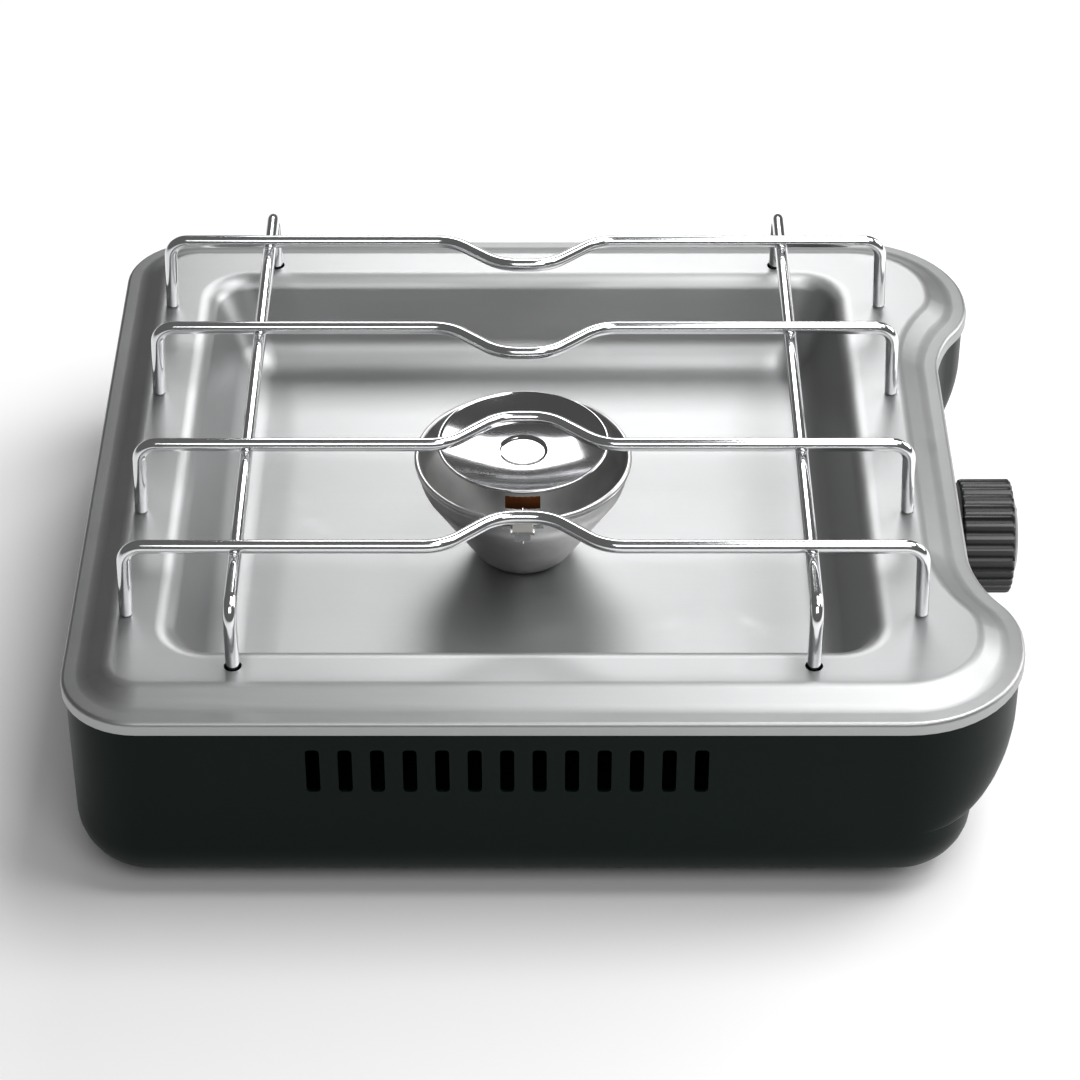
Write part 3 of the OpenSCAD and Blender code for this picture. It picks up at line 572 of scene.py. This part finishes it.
def press_tray(tray):
    """The tray: flange, slope and shoulder by insets, the well from a plate of its own, the shoulder
    filled in between, and the hem drawn down."""
    flange = tray.shoulder - tray.flange_drop
    edge, margin = 1.9 * MM, 6 * MM
    obj = plate("tray_pressing", tray, flange)
    pick(obj, "FACE", lambda f: True)
    bpy.ops.mesh.inset(thickness=tray.flange_width, depth=tray.flange_fall)
    bpy.ops.mesh.inset(thickness=tray.slope_width, depth=tray.flange_drop - tray.flange_fall)
    bpy.ops.mesh.inset(thickness=edge)
    bpy.ops.mesh.delete(type="ONLY_FACE")
    bpy.ops.mesh.primitive_plane_add(size=2, location=(0, 0, tray.shoulder))
    w, d = tray.well_width / 2 + margin, tray.well_depth / 2 + margin
    bpy.ops.transform.resize(value=(w, d, 1), center_override=(0, 0, tray.shoulder))
    pick(obj, "VERT", lambda v: near(abs(v.co.x), w) and near(abs(v.co.y), d))
    round_corners(20 * MM, 10)
    pick(obj, "FACE", lambda f: f.calc_center_median().length < tray.shoulder + MM and len(f.verts) > 12)
    bpy.ops.mesh.inset(thickness=margin)
    draw_out(z=tray.floor - tray.shoulder)
    lean = (1 - 2 * tray.wall_run / tray.well_width, 1 - 2 * tray.wall_run / tray.well_depth, 1)
    bpy.ops.transform.resize(value=lean, center_override=(0, 0, tray.floor))
    bpy.ops.mesh.inset(thickness=11 * MM)
    pick(obj, "EDGE", lambda e: e.is_boundary and at_height(e, tray.shoulder))
    bpy.ops.mesh.fill(use_beauty=True)
    bpy.ops.mesh.select_all(action="SELECT")
    bpy.ops.mesh.dissolve_degenerate(threshold=0.01 * MM)
    pick(obj, "EDGE", lambda e: e.is_boundary and at_height(e, flange))
    draw_out(z=-tray.hem)
    bpy.ops.mesh.select_all(action="SELECT")
    bpy.ops.mesh.normals_make_consistent(inside=False)
    pick(obj, "EDGE", lambda e: at_height(e, flange) and folded(e) and beside(e, -1, 0.3))
    round_edges(1.5 * MM, 5)
    pick(obj, "EDGE", lambda e: at_height(e, flange + tray.flange_fall) and folded(e))
    round_edges(2.4 * MM, 5)
    pick(obj, "EDGE", lambda e: at_height(e, tray.shoulder) and folded(e) and beside(e, 0.7, 0.95))
    round_edges(1.7 * MM, 5)
    pick(obj, "EDGE", lambda e: at_height(e, tray.shoulder) and folded(e) and beside(e, -1, 0.5))
    round_edges(5.2 * MM, 7)
    pick(obj, "EDGE", lambda e: at_height(e, tray.floor) and folded(e))
    round_edges(10 * MM, 10)
    outwards(obj, up=lambda f: near(f.calc_center_median().z, tray.floor, 0.1 * MM))
    apply_modifier(obj, "SOLIDIFY", thickness=tray.sheet, offset=-1, use_even_offset=True)
    first = begin(bpy.ops.mesh.primitive_cylinder_add, "drill", vertices=32, radius=3.2 * MM, depth=12 * MM,
                  location=(RAIL_X, RAIL_END_Y, tray.shoulder))
    bpy.ops.object.mode_set(mode="OBJECT")
    x, y = 2 * RAIL_X, 2 * RAIL_END_Y
    cut(obj, [first] + [again(first, shift=s) for s in ((-x, 0, 0), (0, -y, 0), (-x, -y, 0))])
    smooth(obj, 30)
    return obj


def fold_tub(tray, tub):
    """The tub: the outline drawn down, its ears drawn in step by step, the belly rounded by insets."""
    top, low = TUB_HIGH.z, TUB_LOW.z
    w, d = tray.half_width - tub.gap, tray.half_depth - tub.gap
    obj = plate("tub_pressing", tray, top, tub.gap)
    pick(obj, "FACE", lambda f: True)
    draw_out(z=tub.ear_full - top)
    plain = (LEFT_CORNER - tub.gap) / (EAR_CORNER - tub.gap)
    corner_x = tray.half_width + tray.ear_reach - EAR_CORNER
    corner_y = tray.half_depth - EAR_CORNER
    pivot_x = (tray.half_width - LEFT_CORNER - corner_x * plain) / (1 - plain)
    steps, z, f = 12, tub.ear_full, 1.0
    for i in range(1, steps + 1):
        a = math.radians(90 * i / steps)
        z_next = tub.ear_full - (tub.ear_full - tub.ear_end) * math.sin(a)
        f_next = max(math.cos(a), 0.0001)
        draw_out(z=z_next - z)
        z = z_next
        pick(obj, "VERT", lambda v: near(v.co.z, z, 0.01 * MM) and v.co.x > w + 0.001 * MM
             and abs(v.co.y) < corner_y - 0.1 * MM)
        bpy.ops.transform.resize(value=(f_next / f, 1, 1), center_override=(w, 0, z))
        k = (plain + (1 - plain) * f_next) / (plain + (1 - plain) * f)
        for side in (-1, 1):
            pick(obj, "VERT", lambda v: near(v.co.z, z, 0.01 * MM) and v.co.x > corner_x - 0.01 * MM
                 and v.co.y * side > corner_y - 0.01 * MM)
            bpy.ops.transform.resize(value=(k, k, 1), center_override=(pivot_x, side * d, z))
        f = f_next
        pick(obj, "FACE", lambda face: abs(face.normal.z) > 0.9 and near(face.calc_center_median().z, z))
    draw_out(z=low + tub.belly - z)
    steps = 8
    for i in range(steps):
        a, b = math.radians(90 * i / steps), math.radians(90 * (i + 1) / steps)
        run, drop = tub.belly * (math.cos(a) - math.cos(b)), tub.belly * (math.sin(b) - math.sin(a))
        bpy.ops.mesh.inset(thickness=run)
        move(z=-drop)
    pick(obj, "FACE", lambda face: near(face.calc_center_median().z, top))
    bpy.ops.mesh.delete(type="ONLY_FACE")
    outwards(obj)
    bottom = min(obj.data.polygons, key=lambda p: p.center.z)
    if bottom.normal.z > 0:
        bpy.ops.object.mode_set(mode="EDIT")
        bpy.ops.mesh.select_all(action="SELECT")
        bpy.ops.mesh.flip_normals()
        bpy.ops.object.mode_set(mode="OBJECT")
    apply_modifier(obj, "SOLIDIFY", thickness=tub.sheet, offset=-1, use_even_offset=True)
    at = (tub.slot_x - tub.slot_pitch * (tub.slots - 1) / 2, -d, tub.slot_z)
    punch = begin(bpy.ops.mesh.primitive_cube_add, "punch", size=1, location=at)
    bpy.ops.mesh.select_all(action="SELECT")
    bpy.ops.transform.resize(value=(tub.slot_width, 8 * MM, tub.slot_height), center_override=at)
    pick(punch, "EDGE", lies_along_y)
    round_edges(1.5 * MM, 4)
    bpy.ops.object.mode_set(mode="OBJECT")
    cut(obj, [punch] + [again(punch, shift=(i * tub.slot_pitch, 0, 0)) for i in range(1, tub.slots)])
    smooth(obj, 30)
    return obj


class STOVE_OT_tray(bpy.types.Operator):
    """Press the drip tray with its hem, slope, shoulder and well"""
    bl_idname = "stove.tray"
    bl_label = "Drip tray"

    def execute(self, context):
        props = context.scene.stove_tray
        tray = press_tray(props)
        place(tray, "stove", satin_sheet("satin_steel", props.steel, 0.40), "tray_steel", "drip_tray")
        return {"FINISHED"}


class STOVE_OT_tub(bpy.types.Operator):
    """Fold the painted tub with its ears, belly and air slots"""
    bl_idname = "stove.tub"
    bl_label = "Painted tub"

    def execute(self, context):
        props = context.scene.stove_tub
        tub = fold_tub(context.scene.stove_tray, props)
        place(tub, "stove", enamel("green_black_enamel", props.paint), "tub_paint", "base_shell")
        return {"FINISHED"}


# ---------- grate ----------

def cross_rod(name, grate, y):
    """A rod from foot to foot: leg, bend, straight, the bent middle, and the same again."""
    inwards = -1 if y > 0 else 1
    r, lean, turn, span = WIRE_R, grate.lean, grate.bend_angle, grate.leg_span
    top_z = ROD_HIGH.z - r
    foot_z = TRAY_HIGH.z + 0.12 * MM
    leg_top = Vector((-span / 2 + grate.leg_bend * (1 - math.cos(math.radians(lean))), y,
                      top_z - grate.leg_bend * (1 - math.sin(math.radians(lean)))))
    leg = (leg_top.z - foot_z) / math.cos(math.radians(lean)) - 0.1 * MM
    up = Vector((math.sin(math.radians(lean)), 0, math.cos(math.radians(lean))))
    s, c = math.sin(math.radians(turn)), math.cos(math.radians(turn))
    slant = (grate.bend_in - 2 * grate.middle_bend * (1 - c)) / s
    flat = 2.6 * MM
    reach = flat + 2 * grate.middle_bend * s + slant * c
    straight = span / 2 - grate.leg_bend - reach
    z_in, z_out = (0, 0, inwards), (0, 0, -inwards)
    moves = [leg, ((0, 1, 0), 90.0 - lean, grate.leg_bend), straight,
             (z_in, turn, grate.middle_bend), slant, (z_out, turn, grate.middle_bend), 2 * flat,
             (z_out, turn, grate.middle_bend), slant, (z_in, turn, grate.middle_bend),
             straight, ((0, 1, 0), 90.0 - lean, grate.leg_bend), leg]
    wire = bent_wire(name, leg_top - up * leg, up, moves, r)
    smooth(wire, 40, weighted=False)
    return wire


def long_rail(name, grate, x):
    """A rail from end to end, both ends bent down into the tray."""
    rise = RAIL_HIGH.z - WIRE_R - grate.rail_bend - RAIL_LOW.z
    bend = ((-1, 0, 0), 90.0, grate.rail_bend)
    moves = [rise, bend, 2 * (RAIL_END_Y - grate.rail_bend), bend, rise]
    wire = bent_wire(name, (x, -RAIL_END_Y, RAIL_LOW.z), (0, 0, 1), moves, WIRE_R)
    smooth(wire, 40, weighted=False)
    return wire


def weld(name, x, y, z):
    """A squashed bead of weld between a rod and a rail."""
    bead = begin(bpy.ops.mesh.primitive_uv_sphere_add, name, segments=16, ring_count=10, radius=1.7 * MM,
                 location=(x, y, z))
    bpy.ops.mesh.select_all(action="SELECT")
    bpy.ops.transform.resize(value=(1.35, 1.35, 0.55), center_override=(x, y, z))
    outwards(bead)
    smooth(bead, 60, weighted=False)
    return bead


class STOVE_OT_grate(bpy.types.Operator):
    """Bend the four cross rods and two rails of the pot grate and weld them"""
    bl_idname = "stove.grate"
    bl_label = "Pot grate"

    def execute(self, context):
        props = context.scene.stove_grate
        plating = bright_plate("bright_plating", props.plating, 0.085, waviness=0.04)
        beads = []
        for node in ("rod_front_outer", "rod_front_inner", "rod_rear_inner", "rod_rear_outer"):
            low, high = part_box(node)
            y = low.y + WIRE_R if low.y < 0 else high.y - WIRE_R
            place(cross_rod(node + "_wire", props, y), "grate", plating, "chrome_wire", node)
            for x in (-RAIL_X, RAIL_X):
                beads.append(weld("weld", x, y, RAIL_HIGH.z))
        place(join(beads), "grate", plating, "chrome_wire")
        beads[0].name = "weld_beads"
        for node, side in (("rail_left", -1), ("rail_right", 1)):
            place(long_rail(node + "_wire", props, side * RAIL_X), "grate", plating, "chrome_wire", node)
        return {"FINISHED"}


# ---------- burner ----------

def polished_cap(p):
    """The dished cap: a rolled rim, a long shallow dish and a small stamped step in the middle."""
    z, r, t = CAP_HIGH.z, p.cap, 1 * MM
    ks = (0.965, 0.945, 0.92, 0.88, 0.82, 0.75, 0.68, 0.6, 0.52, 0.44, 0.37, 0.31)
    dish = [(r * k, z - 0.3 * MM - (p.dish - 0.75 * MM) * (1 - ((k - 0.25) / 0.715) ** 1.7)) for k in ks]
    low, edge = z - p.dish, dish[-1][1]
    step = [(r * 0.285, edge - 0.06 * MM), (r * 0.265, edge - 0.3 * MM), (r * 0.25, low + 0.04 * MM),
            (r * 0.23, low), (r * 0.1, low), (0.1 * MM, low)]
    top = list(reversed(step)) + list(reversed(dish))
    rim = arc(r - 0.6 * MM, z - 0.6 * MM, 0.6 * MM, 120, -80, 9)
    under = [(x, h - t) for x, h in reversed(top)]
    cap = turned("cap_dish", BURNER, top + rim + under, 128, closed=False)
    smooth(cap, 50, weighted=False)
    return cap


def pierced_ring(p):
    """The skirt under the cap, with its rows of pinholes and the spark window."""
    z0, z1 = (corner.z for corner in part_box("burner_ring"))
    r1, r0, t = p.cap - 1.2 * MM, p.lip - 2.2 * MM, 0.8 * MM
    rows = 10
    skirt = [(r0 + (r1 - r0) * (i / rows) ** 0.92, z0 + 0.8 * MM + (z1 - z0 - 1.0 * MM) * i / rows)
             for i in range(rows + 1)]
    outer = [(r1 - 2.4 * MM, z1), (r1 - 0.5 * MM, z1)] + list(reversed(skirt))
    side, seat = p.lip - 1.05 * MM, z0 + 0.41 * MM
    foot = [(side, z0 + 0.85 * MM), (side, seat), (side - t, seat), (side - t, z0), (r0 - t, z0)]
    inner = [(x - t - 0.2 * MM, h) for x, h in skirt[1:-1]] + [(r1 - 2.4 * MM, z1 - 0.8 * MM)]
    ring = turned("ring_skirt", BURNER, outer + foot + inner + [outer[0]], 144)
    drills = []
    lean = math.atan2(r0 - r1, z1 - z0)
    for row in range(p.rows):
        k = (row + 0.9) / (p.rows + 0.7)
        r, z = r0 + (r1 - r0) * k, z0 + 0.8 * MM + (z1 - z0 - 1.0 * MM) * k
        first = begin(bpy.ops.mesh.primitive_cylinder_add, "drill", vertices=8, radius=0.33 * MM,
                      depth=5 * MM, location=(BURNER.x, BURNER.y - r, z),
                      rotation=(math.pi / 2 - lean, 0, 0))
        bpy.ops.mesh.select_all(action="SELECT")
        bpy.ops.mesh.spin(steps=p.row_holes, angle=2 * math.pi, dupli=True, center=(BURNER.x, BURNER.y, z),
                          axis=(0, 0, 1))
        bpy.ops.mesh.select_all(action="SELECT")
        bpy.ops.mesh.remove_doubles(threshold=0.001 * MM)
        bpy.ops.transform.rotate(value=math.radians(180 / p.row_holes * (row % 2)), orient_axis="Z",
                                 center_override=(BURNER.x, BURNER.y, z))
        bpy.ops.object.mode_set(mode="OBJECT")
        drills.append(first)
    at = (BURNER.x, BURNER.y - p.lip + 6 * MM, z0 + 3.1 * MM)
    window = begin(bpy.ops.mesh.primitive_cube_add, "window", size=1, location=at)
    bpy.ops.mesh.select_all(action="SELECT")
    bpy.ops.transform.resize(value=(7 * MM, 12 * MM, 3.4 * MM), center_override=at)
    pick(window, "EDGE", lies_along_y)
    round_edges(0.6 * MM, 3)
    bpy.ops.object.mode_set(mode="OBJECT")
    cut(ring, drills + [window])
    smooth(ring, 35, weighted=False)
    return ring


def window_gauze(p):
    """Burnt gauze carrier behind the window: a short curved strip."""
    at = (BURNER.x, BURNER.y - p.lip + 6.4 * MM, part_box("burner_ring")[0].z + 3.4 * MM)
    strip = begin(bpy.ops.mesh.primitive_plane_add, "window_strip", size=1, rotation=(math.pi / 2, 0, 0),
                  location=at)
    bpy.ops.mesh.select_all(action="SELECT")
    bpy.ops.transform.resize(value=(13 * MM, 1, 5.4 * MM), center_override=at)
    bpy.ops.mesh.subdivide(number_cuts=11)
    mesh = bmesh.from_edit_mesh(strip.data)
    levels = sorted({round(v.co.x, 6) for v in mesh.verts})
    for i, x in enumerate(levels):
        pick(strip, "VERT", lambda v: near(v.co.x, x, 0.01 * MM))
        move(y=(x - BURNER.x) ** 2 / (2 * 33 * MM) + (0.25 * MM if i % 2 else 0))
    bpy.ops.object.mode_set(mode="OBJECT")
    apply_modifier(strip, "SOLIDIFY", thickness=0.4 * MM, offset=1)
    bpy.ops.object.mode_set(mode="EDIT")
    outwards(strip)
    smooth(strip, 40, weighted=False)
    return strip


def satin_bowl(p):
    """The bowl: a flat floor, a round heel, a straight cone, an upright side and a double rolled lip."""
    base, top = BOWL_LOW.z, BOWL_HIGH.z - 0.5 * MM
    hole_r, floor_r, side_r, t = 8.05 * MM, 17.3 * MM, p.lip - 0.8 * MM, 1 * MM
    cone_top = top - 8.5 * MM
    cone = [(floor_r + 1.9 * MM + (side_r - floor_r - 3.3 * MM) * i / 8,
             base + 3.6 * MM + (cone_top - base - 6.2 * MM) * i / 8) for i in range(9)]
    heel = [(hole_r, base), (floor_r - 4 * MM, base)]
    heel += arc(floor_r - 3.6 * MM, base + 4.6 * MM, 4.6 * MM, -80, -38, 5)
    knee = [(side_r - 0.72 * MM, cone_top - 1.0 * MM), (side_r - 0.28 * MM, cone_top + 0.4 * MM),
            (side_r - 0.05 * MM, cone_top + 1.8 * MM), (side_r, cone_top + 3.2 * MM)]
    low_bead = arc(p.lip - 0.3 * MM, top - 2.6 * MM, 0.8 * MM, -100, 80, 7)
    lip = arc(p.lip, top - 0.5 * MM, 1 * MM, -70, 180, 12)
    inner_r = side_r - t
    inside = [(inner_r, top - 2 * MM), (inner_r, cone_top + 2 * MM), (inner_r - 0.8 * MM, cone_top - 1 * MM)]
    inside += [(x - t * 1.1, h + 0.3 * MM) for x, h in reversed(cone)]
    inside += [(floor_r - 2.4 * MM, base + 1.5 * MM), (floor_r - 4.4 * MM, base + t), (hole_r, base + t)]
    bowl = turned("bowl_body", BURNER, heel + cone + knee + low_bead + lip + inside + [heel[0]], 128)
    smooth(bowl, 50, weighted=False)
    return bowl


class STOVE_OT_burner(bpy.types.Operator):
    """Turn the burner: dished cap, pierced ring, satin bowl"""
    bl_idname = "stove.burner"
    bl_label = "Burner"

    def execute(self, context):
        p = context.scene.stove_burner
        mirror = bright_plate("mirror_steel", p.mirror, 0.07, waviness=0.07)
        skirt = bright_plate("skirt_steel", p.mirror, 0.09, waviness=0.22)
        satin = turned_metal("satin_bowl", p.satin, 0.31, 700, 0.10)
        place(polished_cap(p), "stove", mirror, "burner_bright", "burner_cap")
        place(pierced_ring(p), "stove", skirt, "burner_bright", "burner_ring")
        place(satin_bowl(p), "stove", satin, "burner_satin", "burner_bowl")
        burnt = turned_metal("burnt_gauze", p.glow, 0.42, 2200, 0.4)
        place(window_gauze(p), "stove", burnt, "burner_bright")
        dress(("burner_neck", "mixing_tube"), satin)
        return {"FINISHED"}


class STOVE_OT_electrode(bpy.types.Operator):
    """Model the ceramic of the spark electrode and finish its metal"""
    bl_idname = "stove.electrode"
    bl_label = "Electrode"

    def execute(self, context):
        centre, size = (CERAMIC_LOW + CERAMIC_HIGH) / 2, CERAMIC_HIGH - CERAMIC_LOW
        block = begin(bpy.ops.mesh.primitive_cube_add, "ceramic_block", size=1, location=centre)
        bpy.ops.mesh.select_all(action="SELECT")
        bpy.ops.transform.resize(value=size, center_override=centre)
        pick(block, "FACE", lambda f: f.normal.z > 0.9)
        bpy.ops.mesh.inset(thickness=0.9 * MM)
        move(z=-0.7 * MM)
        pick(block, "EDGE", folded)
        round_edges(0.32 * MM, 3)
        outwards(block)
        smooth(block, 40)
        clay = fired_clay("white_ceramic", (0.78, 0.76, 0.72))
        place(block, "stove", clay, "ceramic", "electrode_ceramic")
        metal = turned_metal("spark_metal", (0.66, 0.66, 0.66), 0.22, 1500, 0.1)
        dress(("electrode_pin", "electrode_clip"), metal)
        return {"FINISHED"}


# ---------- knob and gas line ----------

def fluted_knob(p):
    """The knob: a ring with its flutes pressed in, drawn out, chamfered and recessed."""
    per = 10
    back, face = KNOB_LOW.x, KNOB_HIGH.x
    recess = face - 1.75 * MM
    axis = (0, (KNOB_LOW.y + KNOB_HIGH.y) / 2, (KNOB_LOW.z + KNOB_HIGH.z) / 2)
    count = p.flutes * per
    knob = begin(bpy.ops.mesh.primitive_circle_add, "knob_grip", vertices=count, radius=p.radius,
                 fill_type="NOTHING", location=(0, 0, back))
    for j in range(1, per // 2 + 1):
        def phase(v):
            k = round(math.atan2(v.co.x, v.co.y) / (2 * math.pi) * count) % per
            return k in (j, per - j)
        pick(knob, "VERT", phase)
        t = 2 * j / per
        k = 1 - p.flute_depth * (1 - (t - 1) ** 2) / p.radius
        bpy.ops.transform.resize(value=(k, k, 1), center_override=(0, 0, back))
    bpy.ops.mesh.select_mode(type="EDGE")
    bpy.ops.mesh.select_all(action="SELECT")
    r, z = p.radius, back
    start_r = r - 1.4 * MM
    bpy.ops.transform.resize(value=(start_r / r,) * 2 + (1,), center_override=(0, 0, back))
    path = [(r - 0.4 * MM, back + 0.35 * MM), (r, back + 1.2 * MM), (r, face - 2.2 * MM)]
    path += [(r - 1.5 * MM + x, h) for x, h in arc(0, face - 1.5 * MM, 1.5 * MM, 10, 90, 6)]
    path += [(17.25 * MM, face), (17.1 * MM, face - 0.2 * MM), (17.1 * MM, recess), (3.5 * MM, recess)]
    now = start_r
    for r_next, z_next in path:
        draw_out(z=z_next - z)
        k = r_next / now
        bpy.ops.transform.resize(value=(k, k, 1), center_override=(0, 0, z_next))
        now, z = r_next, z_next
    pick(knob, "EDGE", lambda e: e.is_boundary and at_height(e, recess))
    bpy.ops.mesh.edge_face_add()
    pick(knob, "EDGE", lambda e: e.is_boundary and at_height(e, back))
    now, z = start_r, back
    for r_next, z_next in [(14 * MM, back), (14 * MM, back + 2 * MM), (6 * MM, back + 2 * MM)]:
        draw_out(z=z_next - z)
        bpy.ops.transform.resize(value=(r_next / now,) * 2 + (1,), center_override=(0, 0, z_next))
        now, z = r_next, z_next
    bpy.ops.mesh.edge_face_add()
    outwards(knob)
    lay_along(knob, "X", axis)
    smooth(knob, 28)
    return knob


class STOVE_OT_knob(bpy.types.Operator):
    """Model the fluted knob and finish its insert, pointer, sleeve and stem"""
    bl_idname = "stove.knob"
    bl_label = "Gas knob"

    def execute(self, context):
        p = context.scene.stove_knob
        place(fluted_knob(p), "knob", moulded("knob_black", p.plastic, 0.27, 0.12), "knob_plastic", "knob")
        dress(("knob_face",), moulded("insert_black", tint(p.plastic, 1.3), 0.22, 0.05))
        dress(("knob_pointer",), moulded("pointer_white", (0.78, 0.78, 0.76), 0.4, 0.1))
        dress(("push_sleeve", "valve_stem"), turned_metal("ground_steel", (0.6, 0.6, 0.61), 0.24))
        dress(("shaft_bush",), moulded("bush_black", (0.014, 0.014, 0.014), 0.4))
        return {"FINISHED"}


def threaded_inlet():
    """The inlet fitting, with a round collar inside the wall and thread rings on its spigot."""
    low, high = INLET_LOW, INLET_HIGH
    centre = ((low.x + high.x) / 2, (low.z + high.z) / 2)
    wall = TUB_HIGH.y
    r, neck, crest, root = 6.5 * MM, 8 * MM, 7.5 * MM, 6.8 * MM
    profile = [(3.1 * MM, low.y), (r - 0.5 * MM, low.y), (r, low.y + 0.5 * MM), (r, wall - 8 * MM),
               (10.6 * MM, wall - 7.8 * MM), (11 * MM, wall - 7.2 * MM), (11 * MM, wall - 2 * MM),
               (neck, wall - 1.5 * MM), (neck, wall + 4.2 * MM), (crest - 0.3 * MM, wall + 4.3 * MM)]
    y = wall + 4.6 * MM
    while y < high.y - 1.6 * MM:
        profile += [(root, y + 0.35 * MM), (crest, y + 0.85 * MM), (crest, y + 1.0 * MM)]
        y += 1.25 * MM
    mouth, bore, end = 4.6 * MM, 2 * MM, high.y
    profile += [(root, end - 0.6 * MM), (root - 0.4 * MM, end), (mouth + 0.3 * MM, end),
                (mouth, end - 0.3 * MM), (mouth, wall + 2 * MM), (bore, wall + 1.4 * MM),
                (bore, wall - 10 * MM), (0.1 * MM, wall - 10 * MM)]
    body = turned("inlet_spigot", (0, 0), profile, 64, closed=False)
    lay_along(body, "Y", (centre[0], 0, centre[1]))
    smooth(body, 35, weighted=False)
    return body


class STOVE_OT_gas_line(bpy.types.Operator):
    """Finish the valve, tubes, fasteners and feet, and thread the inlet"""
    bl_idname = "stove.gas_line"
    bl_label = "Gas line and fasteners"

    def execute(self, context):
        brass = turned_metal("machined_brass", (0.62, 0.45, 0.19), 0.27)
        zinc = turned_metal("zinc_plate", (0.58, 0.585, 0.6), 0.33, 500, 0.2)
        place(threaded_inlet(), "stove", brass, "brass", "inlet_fitting")
        dress(("gas_jet", "valve_body", "tube_nuts"), brass)
        dress(("feed_tube",), turned_metal("drawn_copper", (0.66, 0.33, 0.2), 0.3))
        dress(("foot_screws", "tray_posts", "post_screws", "neck_nut", "valve_bracket", "bracket_screws",
               "inlet_nut"), zinc)
        dress(("rubber_feet",), moulded("foot_rubber", (0.012, 0.012, 0.012), 0.62, 0.5, 1500))
        dress(("igniter",), moulded("igniter_black", (0.02, 0.02, 0.021), 0.4))
        return {"FINISHED"}


# ---------- stage ----------

def softbox(name, where, size, power, towards=(0, 0, 0.06)):
    deselect()
    bpy.ops.object.light_add(type="AREA", location=where)
    lamp = bpy.context.active_object
    lamp.name = name
    lamp.data.shape = "RECTANGLE"
    lamp.data.size, lamp.data.size_y = size
    lamp.data.energy = power
    lamp.rotation_euler = (Vector(towards) - Vector(where)).to_track_quat("-Z", "Y").to_euler()
    return lamp


class STOVE_OT_stage(bpy.types.Operator):
    """Lay the pale floor and set the soft lights and the camera"""
    bl_idname = "stove.stage"
    bl_label = "Floor, light and camera"

    def execute(self, context):
        p = context.scene.stove_stage
        floor = begin(bpy.ops.mesh.primitive_plane_add, "floor", size=12, location=(0, 0, 0))
        bpy.ops.object.mode_set(mode="OBJECT")
        f = Finish("floor_paper", {"Metallic": 0.0, "Specular IOR Level": 0.1})
        floor.data.materials.append(f.done(Base_Color=f.blend(f.noise(3, 2), p.floor, tint(p.floor, 0.99)),
                                           Roughness=0.85 + 0.05 * f.noise(40, 2)))
        softbox("back_box", (0.05, 0.75, 0.62), (0.5, 0.28), p.back)
        softbox("top_right", (0.6, 0.0, 1.4), (1.0, 0.9), p.top)
        softbox("knob_side", (1.5, 0.6, 0.75), (1.1, 0.8), p.side)
        softbox("front_fill", (0.2, -1.3, 1.5), (1.2, 0.8), p.front)
        world = bpy.data.worlds.new("studio")
        context.scene.world = world
        world.use_nodes = True
        world.node_tree.nodes["Background"].inputs["Color"].default_value = (1, 1, 1, 1)
        world.node_tree.nodes["Background"].inputs["Strength"].default_value = p.room
        deselect()
        bpy.ops.object.camera_add(location=CAMERA_AT, rotation=(math.radians(90 - CAMERA_DIP), 0, 0))
        camera = context.active_object
        camera.name = "view"
        camera.data.lens = p.lens
        camera.data.sensor_width = 36
        camera.data.clip_end = 50
        context.scene.camera = camera
        context.scene.view_settings.view_transform = "Standard"
        return {"FINISHED"}


class STOVE_PT_panel(bpy.types.Panel):
    """Lists the pieces of the stove"""
    bl_label = "Camping stove"
    bl_idname = "STOVE_PT_panel"
    bl_space_type = "VIEW_3D"
    bl_region_type = "UI"
    bl_category = "Stove"

    def draw(self, context):
        for operator in OPERATORS:
            self.layout.operator(operator.bl_idname)


GROUPS = {
    "stove_tray": StoveTrayProps,
    "stove_tub": StoveTubProps,
    "stove_grate": StoveGrateProps,
    "stove_burner": StoveBurnerProps,
    "stove_knob": StoveKnobProps,
    "stove_stage": StoveStageProps,
}
OPERATORS = (STOVE_OT_tray, STOVE_OT_tub, STOVE_OT_grate, STOVE_OT_burner, STOVE_OT_electrode, STOVE_OT_knob,
             STOVE_OT_gas_line, STOVE_OT_stage)


def register():
    for name, group in GROUPS.items():
        bpy.utils.register_class(group)
        setattr(bpy.types.Scene, name, PointerProperty(type=group))
    for cls in (*OPERATORS, STOVE_PT_panel):
        bpy.utils.register_class(cls)


def unregister():
    for cls in (STOVE_PT_panel, *reversed(OPERATORS)):
        bpy.utils.unregister_class(cls)
    for name, group in reversed(GROUPS.items()):
        delattr(bpy.types.Scene, name)
        bpy.utils.unregister_class(group)


def main():
    register()
    bpy.ops.stove.tray()
    bpy.ops.stove.tub()
    bpy.ops.stove.grate()
    bpy.ops.stove.burner()
    bpy.ops.stove.electrode()
    bpy.ops.stove.knob()
    bpy.ops.stove.gas_line()
    bpy.ops.stove.stage()


if __name__ == "__main__":
    main()
